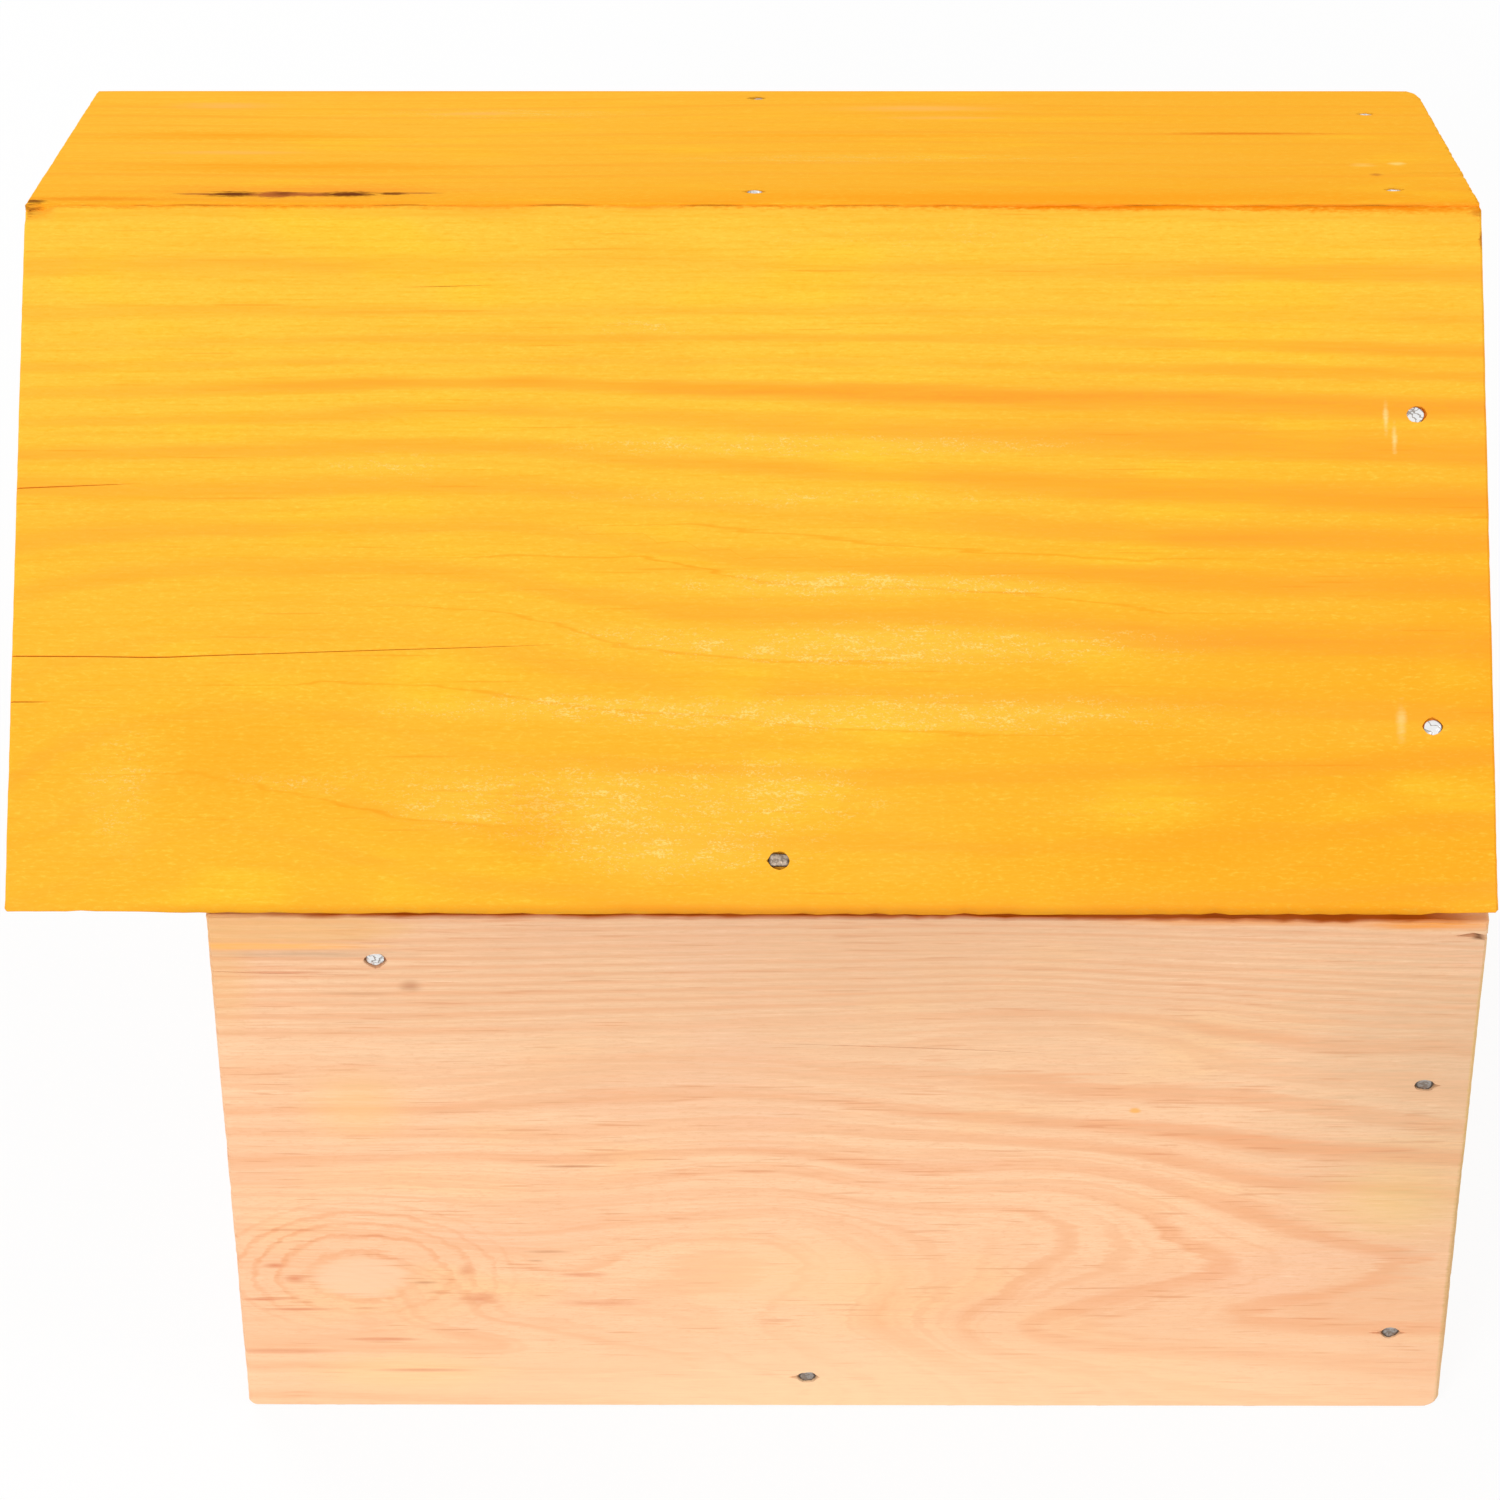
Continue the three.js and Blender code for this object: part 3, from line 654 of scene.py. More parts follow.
right_wall_marks = on_wall(right_wall_high.x, [
    (-49, 77.9, 4, 17, 1, 1, grey_smudge, .34),
    (-37.4, 72.8, 4, 1.9, 1.4, 1, (186, 114, 72), .75),
    (-43, 71.6, 4, 7, .4, 1, (206, 142, 98), .5),
    (-52, 75, 4, 9, .4, 1, wall_dash_red, .8),
    (-53, 82.2, 4, 19, 3.2, .35, yellow_smudge, .55),
    (-58, 74, 4, 5, 12, .9, yellow_smudge, .3),
    (73, 37, 4, 13, 9, 1, (245, 203, 130), .6),
    (42.7, 52.4, 4, .9, .6, .6, (250, 178, 84), .9),
    (-44, 53, 4, 9, 8, .9, (250, 198, 132), .5),
    (-40, 6, 4, 16, 5, .8, (253, 205, 140), .6),
    # Painted shade of the eave: greyer towards the top of the wall.
    (10, 84, 6, 150, 56, 1, (206, 172, 136), .42),
    (82, 56, 6, 34, 50, 1, (198, 168, 132), .42),
    (52, 83.2, 5, 22, 1, 1, (240, 152, 62), .5),
    (73, 82.9, 5, 14, 1.5, 1, (240, 158, 76), .9),
    (-45, 23.3, 4, 6.4, 4.2, .4, (253, 204, 166), .7),
    (-54.8, 25.5, 4, 1.9, .7, 1, wall_dash_red, .8),
    (-52.6, 23.1, 4, 1.9, 1.1, 1, wall_dash_red, .8),
    (-37.8, 22.5, 4, 2.2, .4, 1, wall_dash, .5),
    (-32.9, 24.6, 4, 1.6, 1.5, 1, wall_dash_red, .6),
    (-31.4, 19.6, 4, 3.2, 1.7, 1, wall_dash_red, .6),
    (-56.5, 19.5, 4, 4, .4, 1, wall_dash_red, .8),
    (-52.4, 17.7, 4, 6, .4, 1, wall_dash_red, .8),
    (-23.6, 28, 4, 3.6, .4, 1, wall_dash, .6),
    (-24.9, 26.4, 4, 1.6, .3, 1, wall_dash, .5),
    (-19.8, 23.9, 4, 4, .6, 1, wall_dash_red, .6),
    (-17.5, 18.9, 4, 7, .9, 1, wall_dash_red, .5),
    (-43, 12.3, 4, 6, .45, .8, wall_dash_red, .9),
    (-55, 10.1, 4, 9, .7, .8, wall_dash_red, .7),
    (-38.5, 6.7, 4, 8, .45, .8, wall_dash_red, .9),
    (-20.6, 42.8, 4, 5.4, .35, 1, wall_dash, .7),
    (-54, 79.2, 4, 17, .8, .7, (250, 180, 92), .7),
    (80.1, 20, 3, .9, 44, .5, (196, 158, 90), .6),
    (80.1, 62, 3, .7, 26, .5, (220, 180, 104), .6),
    # Painted shade in the chip at the rear top corner.
    (79.8, 80.7, 3, 2.2, .4, .9, (112, 72, 40), .9),
    # Painted light from the white table: paler and yellower towards the foot of the wall.
    (10, 0, 4, 130, 22, 1, (255, 217, 173), .75),
    (6, 24, 4, 26, 10, 1, (254, 208, 156), .5),
])
settle(right_wall, "right_wall", "pale_pine", raw_pine("right_wall_pine", 1, 1, right_wall_marks), wall_split)


# The right roof board is planed pine under a thin orange stain. It is mitred at the ridge and undercut
# at the eave, has opened in three splits at its front end, and its eave is rough from the saw.
def stained_pine(name, seed, marks):
    """Pine under orange stain: darker bands, pale flecks where the stain didn't take, fine fibres."""
    finish, shader, where = new_finish(name)
    a, b, c = at = (seed * 4.7, seed * 9.1, seed * 2.3)

    def grained(along, across, *look):
        return where.mottle((across, along, across), *look)

    wander = grained(0.03, 0.22, 2.0, 0.5, at) - 0.5
    ragged = grained(0.10, 1.5, 2.0, 0.6, at) - 0.5
    fine = grained(0.10, 3.4, 3.0, 0.7, at)
    coarse = grained(0.03, 0.8, 3.0, 0.55, at)
    grit = grained(1.1, 4.0, 3.0, 0.7, at)
    cloud = grained(0.04, 0.10, 2.0, 0.5, at)
    line = grained(0.05, 2.4, 1.0, 0.4, (b, c, a)).ease(0.70, 0.78)
    dash = grained(2.4, 5.2, 3.0, 0.75, (c, b, a))
    patch = grained(0.3, 1.3, 2.0, 0.6, (b, c, a))
    ring = written(where, "ring") + wander * 0.14 + ragged * 0.26
    strong = written(where, "band")
    off = ((ring + 0.5).math("FRACT") - 0.5) / (written(where, "narrow") * (0.55 + strong * 1.5))
    band = off.ease(-0.32, -0.03) * off.ease(0.28, 0.04) * strong * (0.45 + coarse * 0.8 + (grit - 0.5) * 0.9)
    lines = ring.lines(where, 4.3, (0.03, 0.012, 0.03))
    seam = written(where, "seam") + ragged * 1.4
    thread = seam.ease(-0.30, 0.0) * seam.ease(0.22, 0.02)
    above = seam.ease(-2.4, -0.5) * seam.ease(0.0, -0.3)
    zone = written(where, "fleck") * (0.4 + cloud * 0.9 + above * 0.5)
    fleck = (dash + patch * 0.5 + zone * 0.1).ease(0.84, 1.0) * zone.ease(0.1, 0.55)
    colour = written(where, "depth").mix(paint(253, 199, 69), paint(251, 169, 37)).under(
        (cloud.ease(0.50, 0.75) * 0.5, (252, 182, 58)),
        (cloud.ease(0.46, 0.28) * 0.5, (254, 199, 52)),
        (fine.ease(0.40, 0.75) * 0.5, (252, 174, 38)),
        (grit.ease(0.50, 0.75) * 0.5, (254, 210, 80)),
        (grit.ease(0.48, 0.26) * 0.5, (252, 170, 34)),
        (coarse.ease(0.5, 0.75) * 0.35, (253, 170, 44)),
        (band, (252, 153, 46)),
        (lines.ease(0.48, 0.68) * strong * 0.5, (253, 164, 40)),
        (line * 0.35, (240, 140, 26)),
        (thread * (0.1 + coarse * 0.7), (236, 150, 24)),
        (zone.ease(0.1, 0.9) * 0.3, (254, 205, 80)),
        (fleck * 0.6, (255, 224, 130)),
        # The sawn eave: stain soaked into the end grain, with the shade under the eave painted in.
        (written(where, "sawn") * (0.6 + grit * 0.6), (150, 66, 6)),
        *where.marks(marks, (grit - 0.5) * 1.2 + ragged * 0.8, 0.2 + fine * 1.5))
    relief = fine * 0.5 + grit * 0.15 - band * 0.2 + fleck * 0.4
    finish_with(shader, colour, 0.5 + fine * 0.18, relief, 0.10, 0)
    return finish


roof_pitch = math.radians(31)
roof_thickness, roof_grid, roof_arris, roof_wear = 11.0, (0.9, 0.7, 1.3), 0.3, 0.2
ridge_gap = 0.02  # from the middle of the house to each board


def roof_board(name, seed):
    """A flat board with bevelled long edges, and its width."""
    low, high = box_of("right_roof_board")
    width = (high.x - low.x) / math.cos(roof_pitch)
    undercut = roof_thickness * math.tan(roof_pitch)
    board = block(name, (0, low.y, -roof_thickness), (width, high.y, 0))
    with editing(board):
        pick(board, "verts", lambda vertex: vertex.co.z < -1 * MM)
        bpy.ops.transform.resize(value=((width - 2 * undercut) / width, 1, 1))
    slant = (math.cos(roof_pitch), 0, -math.sin(roof_pitch))
    wear(board, roof_arris, roof_grid, roof_wear, seed, ((0, 0, 1), (0, 1, 0), slant))
    return board, width


def lay(board, side):
    """Turns a finished board to the pitch, at the ridge."""
    if side < 0:
        board.scale.x = -1
    board.rotation_euler = (0, side * roof_pitch, 0)
    board.location = Vector((side * ridge_gap, 0, roof_ridge)) * MM
    choose(board)
    bpy.ops.object.transform_apply(location=True, rotation=True, scale=True)
    with editing(board):
        bpy.ops.mesh.normals_make_consistent(inside=False)


roof_ridge = box_of("right_roof_board")[1].z
right_roof_lines = {
    0: [(-80, 1, .2), (0, .8, .2), (80, 1.2, .3)],
    1: [(-80, 7.2, .6), (-45, 7, .6), (-10, 6.8, .2), (40, 7.8, .5), (60, 8, .8), (80, 8.2, .8)],
    2: [(-80, 12.6, .5), (-45, 12.4, .4), (0, 12.3, .4), (40, 12.6, .4), (80, 13, .4)],
    3: [(-80, 16.2, .2), (-60, 16, .4), (-40, 15.4, .6), (0, 15.4, .5), (30, 15.6, .5), (60, 16.2, .9),
        (80, 16.8, .9)],
    4: [(-80, 18.7, .5), (-40, 18, .2), (0, 18, .2), (30, 18.5, .3), (60, 19.3, .7), (80, 19.7, .7)],
    5: [(-80, 21.8, .6), (-60, 21.3, .7), (-40, 20.4, 1.1), (-25, 20.3, 1.2), (-10, 20.9, 1.2),
        (10, 21.5, 1.3), (30, 22, 1.3), (50, 22.3, 1.3), (70, 23, 1.3), (80, 23.3, 1.2)],
    6: [(-80, 25, .3), (-50, 24.5, .5), (-35, 23.8, .5), (-20, 24, .5), (-5, 25, .7), (10, 26, .9),
        (30, 26.8, 1), (50, 27.5, 1.1), (70, 28, 1.1), (80, 28.5, 1.1)],
    7: [(-80, 28.6, .8), (-60, 28.2, .8), (-40, 27.8, .8), (-25, 28, .7), (-10, 29.3, .6), (10, 30.7, .7),
        (30, 31.8, 1), (50, 33, 1.2), (70, 33.8, 1.2), (80, 34, 1.2)],
    8: [(-80, 32.4, .7), (-60, 32.8, .7), (-40, 32.2, .8), (-25, 32.2, .7), (-10, 33.8, .4), (10, 35.6, .4),
        (30, 37, .8), (50, 38, 1), (80, 38.3, 1)],
    9: [(-80, 38.6, .7), (-70, 37.6, .7), (-50, 37, .7), (-30, 36.6, .5), (-15, 38.2, .4), (0, 40.2, .5),
        (15, 41, .7), (30, 41.4, .9), (50, 42.8, 1), (80, 43.6, 1)],
    10: [(-80, 44.6, .5), (-70, 42.6, .6), (-60, 41.4, .6), (-45, 41.3, .6), (-30, 42.2, .5),
         (-20, 44.2, .6), (-10, 46, .7), (0, 46.7, .7), (20, 46.9, .8), (35, 48.2, .9), (48, 49.6, 1.2),
         (80, 50, 1)],
    11: [(-80, 54, .3), (-72, 51.4, .24), (-60, 49.2, .24), (-40, 48.8, .24), (-30, 50, .3), (-20, 52.6, .5),
         (-10, 54, .5), (10, 55.4, .5), (30, 56.2, .5), (60, 57, .6), (80, 57.5, .6)],
    12: [(-80, 65.5, .48), (-74, 61.4, .48), (-65, 58.6, .25), (-52, 57.2, .25), (-42, 58.4, .25),
         (-35, 60.6, .2), (-28, 62.6, .25), (-10, 63.6, .5), (20, 64.6, .5), (50, 64, .7), (80, 62.4, .8)],
    13: [(-74, 70, .24), (-66, 66, .18), (-56, 64.6, .24), (-46, 66.2, .3), (-38, 69, .36), (-24, 71, .36),
         (0, 72, .4), (30, 72.5, .4), (60, 71, .5), (80, 69.5, .6)],
    14: [(-72, 76, .18), (-64, 71.6, .18), (-54, 70.6, .24), (-44, 73, .3), (-34, 76, .36), (-10, 78.4, .6),
         (20, 79, .5), (80, 77, .6)],
}
right_roof_flecks = [  # along, down, reach along, reach down, strength
    (-68, 66, 4, 9, .5), (-20, 67.5, 16, 4, 1), (-8, 73, 14, 3, .8), (4, 66, 10, 4, .8),
    (10, 27.5, 26, 1.2, .8), (12, 43.4, 20, 1.2, .9), (18, 50, 30, 2.2, .9), (14, 57.6, 34, 1.8, 1),
    (-30, 57, 12, 1.2, .6), (-48, 65, 9, 1.4, .4), (5, 33.5, 30, 1, .5), (-40, 30, 8, 2, .4),
    (20, 4, 30, 2.5, .35), (40, 68, 14, 2.5, .4), (-12, 14, 8, 1.4, .4), (0, 40.5, 70, 30, .12),
]
right_roof_seams = [
    [(-27, 40.1), (-12, 40.2), (-5, 41.6), (0, 42.8), (8, 43.4), (22, 43.9), (36, 45), (44, 46.2)],
    [(-32, 45.9), (-26, 46.6), (-20, 48), (-15, 49.8), (-10, 50.6), (0, 51.6), (14, 52.2)],
    [(-46, 54.2), (-34, 54.6), (-27, 55.6), (-22, 56.6), (-12, 57.4), (0, 58.4), (12, 59.6), (26, 60)],
    [(-60, 64.2), (-52, 66), (-44, 67.8), (-36, 69.4), (-28, 70.2)],
    [(-8, 36.4), (4, 37.6), (18, 39), (32, 40), (43, 40.4)],
]


def seam_apart(lines, along, across):
    """How far each place lies from the nearest of some drawn lines, above or below."""
    best = np.full(len(along), 9.0)
    for line in lines:
        run, drop = zip(*line)
        off = across - np.interp(along, run, drop)
        past = np.maximum(0, np.maximum(run[0] - along, along - run[-1])) * 0.2
        off = np.where(off < 0, off - past, off + past)
        best = np.where(np.abs(off) < np.abs(best), off, best)
    return best


def write_stain(board, seam, flecks, depth):
    """Keeps what the stain follows on a roof board. Its sawn, undercut eave drank most of the stain, and is
    painted darker still for the shade under the eave.
    """
    down, along, height = points_of(board).T
    fleck = sum(strength * np.exp(-((along - a) / reach_a) ** 2 - ((down - d) / reach_d) ** 2)
                for a, d, reach_a, reach_d, strength in flecks)
    bevel = roof_width - down + height * math.tan(roof_pitch)
    write_on(board, "seam", seam)
    write_on(board, "fleck", np.clip(fleck, 0, 1))
    write_on(board, "depth", np.clip(depth, 0, 1))
    write_on(board, "sawn", np.clip(1.4 - np.abs(bevel) / 0.5, 0, 1) * np.clip(-height / 0.8, 0, 1))


def on_slope(side, marks):
    """Marks on a roof board, given by place along the ridge and down from it, then by reach both ways."""
    fall, drop = side * math.cos(roof_pitch), math.sin(roof_pitch)
    return [((side * ridge_gap + down * fall, along, roof_ridge - down * drop), (reach, run, reach), *look)
            for along, down, run, reach, *look in marks]


right_roof, roof_width = roof_board("right_roof_pine", 21)

# The eave's upper arris is splintered and hangs a little lower in the middle, and the ridge arris is eased
# so that the left board shows past it.
ridge_easing, eave_rag, eave_bow = 0.34, 0.3, 0.4
ridge_reach, edge_reach, front_corner = 2.2, 3, -76.5
for vertex in right_roof.data.vertices:
    x, y, z = vertex.co / MM
    if x < ridge_reach and z > -edge_reach:
        uneven = 1 + 0.9 * ripple(y * 0.12, 3) + 0.7 * ripple(y * 0.5, 4)
        vertex.co.z -= ridge_easing * (1 - x / ridge_reach) ** 2 * max(0.1, uneven) * MM
        if y < front_corner:
            vertex.co.z -= 1.0 * min(1, (front_corner - y) / 2) * (1 - x / ridge_reach) * MM
    if x > roof_width - edge_reach and z > -edge_reach:
        share = min(1, (x - roof_width + edge_reach) / 2.4) * min(1, edge_reach + z)
        tear = ripple(y * 0.55, 7) + 0.7 * ripple(y * 1.7, 9)
        bow = np.interp(y, [-67, -60, 10, 72, 76], [0, 0.55, 1, 0.75, 0])
        torn = min(0.02, eave_rag * (tear + 0.12))
        vertex.co.x += share * (eave_bow * bow * math.sin(roof_pitch) + torn) * MM
        vertex.co.z -= share * (eave_bow * bow * math.cos(roof_pitch) + 0.05) * MM
flat_roof = (Vector((0, 0, 0)), Vector((0, 1, 0)), Vector((1, 0, 0)), Vector((0, 0, 1)))
# Splits and pits in the roof are painted darker orange for the shade in them.
roof_split = split_wood("shaded_split_stained_pine", (226, 112, 12), (172, 70, 8))
carve(right_roof, [
    gouge(flat_roof, [(-80.8, 32.5, 1), (-76, 32.3, .9), (-71, 32.1, .6), (-66, 31.9, 0)], 0.26, 0.5,
          roof_split),
    gouge(flat_roof, [(-80.8, 51.3, 1), (-70, 51.35, .8), (-64, 51.45, 1), (-61, 51.3, .9), (-52, 51, .6),
                      (-40, 50.6, .6), (-30, 50.3, .5), (-19, 49.9, 0)], 0.28, 0.6, roof_split),
    gouge(flat_roof, [(-80.8, 56.4, 1), (-78, 56.4, .8), (-75.2, 56.4, 0)], 0.26, 0.6, roof_split),
    gouge(flat_roof, [(-39, 9.6, 0), (-34, 9.5, .9), (-27, 9.3, 0)], 0.16, 0.5, roof_split),
    nail_pit(flat_roof, 72.4, 24.0, 2.3, 1.05, 0.6, roof_split),
    nail_pit(flat_roof, 73.4, 59.0, 2.3, 1.05, 0.6, roof_split),
    nail_pit(flat_roof, 3.0, 73.9, 2.5, 1.1, 0.8, roof_split, -0.04),
])
down, along, height = points_of(right_roof).T
write_grain(right_roof, grain_through(right_roof_lines), along, down + 0.5 * height)
depth = 0.22 + 0.5 * np.clip((down - 14) / 50, 0, 1)
depth += 0.35 * np.clip((along - 10) / 70, 0, 1) * np.clip(down / 40, 0, 1)
write_stain(right_roof, seam_apart(right_roof_seams, along, down), right_roof_flecks, depth)
lay(right_roof, 1)
scratch, ridge_joint_shade, rich_stain = (255, 226, 150), (242, 138, 14), (255, 164, 34)
right_roof_marks = on_slope(1, [
    (69, 24.4, .4, 2.4, 1, scratch, .6),
    (69.9, 26.8, .4, 2.2, 1, scratch, .6),
    (70, 58.6, .8, 2.8, 1, scratch, .4),
    (79.6, .8, 1.4, 1.2, .9, (190, 104, 26), .6),
    (-24, 70, 8, 8, 1, rich_stain, .55),
    (-56, 62, 16, 9, 1, rich_stain, .45),
    (50, 73, 34, 6, 1, rich_stain, .5),
    (80, 4, .6, 1.6, .8, (190, 110, 30), .8),
    (-79.6, .6, 1.6, 1.2, .8, (170, 92, 26), .8),
    # Darker orange along the ridge: painted shade of the joint between the boards, over the stain.
    (44, 0, 62, .9, .7, ridge_joint_shade, 1.1),
    (70, 0, 24, 1.3, .7, ridge_joint_shade, .8),
    (-50, 0, 40, .7, .8, ridge_joint_shade, .7),
])
settle(right_roof, "right_roof_board", "stained_pine", stained_pine("right_roof_stain", 1, right_roof_marks),
       roof_split)


# The left wall is the same board on the other side, cut from nearer the middle of the log.
def grain_round(pith_across, pith_deep, growth, climb, seed, strength=1.0):
    """Ring numbers round the middle of a log, which lies under the board and rises along it."""
    def at(along, across, deep=0):
        sway = 2.4 * np.sin(along / 33 + seed) + 1.1 * np.sin(along / 14.5 + 2.3 * seed)
        under = pith_deep + climb * along + 1.5 * np.sin(along / 24 + 1.7 * seed) + deep
        ring = np.hypot(across - pith_across - sway, under) / growth
        band = 0.75 + 0.3 * np.sin(ring * 2.1 + seed) + 0.15 * np.sin(ring * 5.3 + along / 30)
        return ring, band * strength
    return at


def write_round_grain(piece, numbers, along, across, deep):
    """Keeps the rings round the middle of a log, which a board's face cuts and its depth follows."""
    write_grain(piece, lambda a, c: numbers(a, c, 0.9 * deep), along, across)


left_wall, left_wall_face, _ = wall_board("left", 12)
carve(left_wall, [
    *wall_pits(left_wall_face, [(3.6, 1.1, 0), (2.8, 1.15, 0.1), (3.2, 1.1, -0.1), (3.9, 1.08, 0)]),
    gouge(left_wall_face, [(-59.8, 31.4, 1), (-50, 31.2, .7), (-42, 30.8, 0)], 0.2, 1.5, wall_split),
    gouge(left_wall_face, [(20, 51, 0), (30, 50.6, 1), (41, 50.4, 0)], 0.14, 0.5, wall_split),
])
across, along, up = points_of(left_wall).T
outer = left_wall_face[0].x
write_round_grain(left_wall, grain_round(28, 15, 2.6, 0.11, 2.2), along, up, across - outer)
write_knot(left_wall, along, up, (22, 63), 3.6, 3.8, 2.3, 2.2)
knot_heart = (214, 148, 98)
settle(left_wall, "left_wall", "pale_pine", raw_pine("left_wall_pine", 1, 4, on_wall(outer, [
    (22, 63, 4, 3.6, 2.2, .4, knot_heart, .6),
    (20, 40, 4, 30, 9, .9, (250, 198, 138), .4),
    (-47, 77, 4, 9, .9, .9, grey_smudge, .4),
])), wall_split)


# The floor is a plain board between the walls, nailed through them, with its grain from front to back.
floor_low, floor_high = box_of("floor")
floor_board = block("floor_board", floor_low, floor_high)
wear(floor_board, wall_arris, (1.1, 1.5, 1.0), board_wear, 13)
across, along, up = points_of(floor_board).T
write_round_grain(floor_board, grain_round(-8, 26, 3.1, 0.05, 0.7), along, across, up - floor_high.z)
settle(floor_board, "floor", "pale_pine", raw_pine("floor_pine", 1, 7))


# The back panel closes the rear up to the roof. Its grain stands upright, and a keyhole is bored and
# slotted through it under the peak, to hang the house on a screw.
def gable_shape(name, node, grid, seed):
    """A board whose top is cut to both slopes of the roof, and the corners of its CAD node."""
    low, high = box_of(node)
    shoulder = high.z - (high.x - low.x) / 2 * math.tan(roof_pitch)
    board = block(name, low, high)
    with editing(board):
        bpy.ops.mesh.bisect(plane_co=(0, 0, 0), plane_no=(1, 0, 0))
        pick(board, "verts", lambda vertex: abs(vertex.co.x) > 1 * MM and vertex.co.z > (high.z - 1) * MM)
        bpy.ops.transform.translate(value=(0, 0, (shoulder - high.z) * MM))
    slants = [(side * math.sin(roof_pitch), 0, math.cos(roof_pitch)) for side in (1, -1)]
    wear(board, wall_arris, grid, board_wear, seed, ((1, 0, 0), (0, 1, 0), (0, 0, 1), *slants))
    return board, low, high


def bored(radius, centre, length, top_radius=None):
    """A cutter for a round hole along Y, straight or opening outwards."""
    bpy.ops.object.select_all(action="DESELECT")
    bpy.ops.mesh.primitive_cone_add(vertices=48, radius1=radius * MM, radius2=(top_radius or radius) * MM,
                                    depth=length * MM, location=[part * MM for part in centre],
                                    rotation=(-math.pi / 2, 0, 0))
    cutter = bpy.context.active_object
    bpy.ops.object.transform_apply(location=True, rotation=True, scale=True)
    return cutter


back_panel, back_low, back_high = gable_shape("back_panel_board", "back_panel", (1.1, 1.1, 1.0), 14)
slot_top, slot_drop, slot_radius, entry_radius = back_high.z - 19, 8, 2.25, 4.5
entry, middle_y = slot_top - slot_drop, (back_low.y + back_high.y) / 2
slot_cutter = block("slot", (-slot_radius, back_low.y - 2, entry), (slot_radius, back_high.y + 2, slot_top))
# The bore's walls are painted darker for the shade inside the hole.
hole_wood = split_wood("shaded_bored_pine", (196, 148, 100))
keyhole = [bored(slot_radius, (0, middle_y, slot_top), 16), slot_cutter,
           bored(entry_radius, (0, middle_y, entry), 16),
           bored(entry_radius - 0.1, (0, back_high.y - 0.35, entry), 0.9, entry_radius + 0.6)]
for cutter in keyhole:
    cutter.data.materials.append(hole_wood)
carve(back_panel, keyhole)
across, deep, up = points_of(back_panel).T
write_round_grain(back_panel, grain_round(6, 24, 3.3, 0.09, 1.4), up - 60, across, back_high.y - deep)
write_knot(back_panel, up, across, (40, -24), 3.9, 4.1, 2.6, 2.5)
settle(back_panel, "back_panel", "pale_pine", raw_pine("back_panel_pine", 2, 9, [
    ((-24, 80, 40), (2.6, 4, 3.8), 0.4, knot_heart, 0.6),
    ((0, 80, 94), (9, 3, 12), 0.9, (240, 182, 128), 0.35),
]), hole_wood)


# The gable board fills the front under the roof, above the canes. Its grain runs across the house.
gable_board, gable_low, _ = gable_shape("gable_front_board", "gable_board", (1.1, 1.0, 1.0), 15)
across, deep, up = points_of(gable_board).T
write_round_grain(gable_board, grain_round(84, 12, 2.7, 0.07, 3.1), across, up, deep - gable_low.y)
write_knot(gable_board, across, up, (19, 90), 3.5, 3.3, 2.1, 2.2)
settle(gable_board, "gable_board", "pale_pine", raw_pine("gable_pine", 0, 12, [
    ((19, -46.6, 90), (3.2, 4, 2.1), 0.4, knot_heart, 0.6),
]))


# The left roof board is the right one's pair, from straighter wood. A dark pitch streak lies near the
# ridge in front, and its rear end is bruised.
left_roof, roof_width = roof_board("left_roof_pine", 22)
bruise_from, corner_from, nicks_from, bruise_depth = 78, 74, 79.2, 0.8
for vertex in left_roof.data.vertices:
    x, y, z = vertex.co / MM
    if y > bruise_from and x > corner_from and z > -9:
        vertex.co.y -= bruise_depth * ((x - corner_from) / 5.6) ** 2 * MM
    if y > nicks_from:
        nick = max(0, ripple(x * 0.5, 5) - 0.1) + max(0, ripple(x * 1.5, 8) - 0.3)
        vertex.co.y -= bruise_depth * nick * MM
carve(left_roof, [
    nail_pit(flat_roof, 0.16, 7.7, 2.8, 1.15, 0.7, roof_split),
    nail_pit(flat_roof, 71.2, 9.2, 2.4, 1.05, 0.6, roof_split),
    nail_pit(flat_roof, 72.3, 62.0, 2.4, 1.05, 0.6, roof_split),
    nail_pit(flat_roof, 0.0, 73.8, 2.6, 1.05, 0.8, roof_split),
    gouge(flat_roof, [(70, 20, 0), (76, 20.2, .7), (80.8, 20.2, 1)], 0.3, 2, roof_split),
])
down, along, height = points_of(left_roof).T
write_round_grain(left_roof, grain_round(-26, 34, 6.2, 0.03, 0.4, 0.45), along, down, height)
write_stain(left_roof, seam_apart([], along, down), [(14, 30, 30, 4, .6), (-30, 62, 24, 5, .6)],
            0.5 + 0.14 * np.sin(along / 40) + 0.5 * np.exp(-down / 9))
lay(left_roof, -1)
pitch_dark, pitch_red, pale_stain = (112, 56, 26), (186, 104, 48), (255, 186, 88)
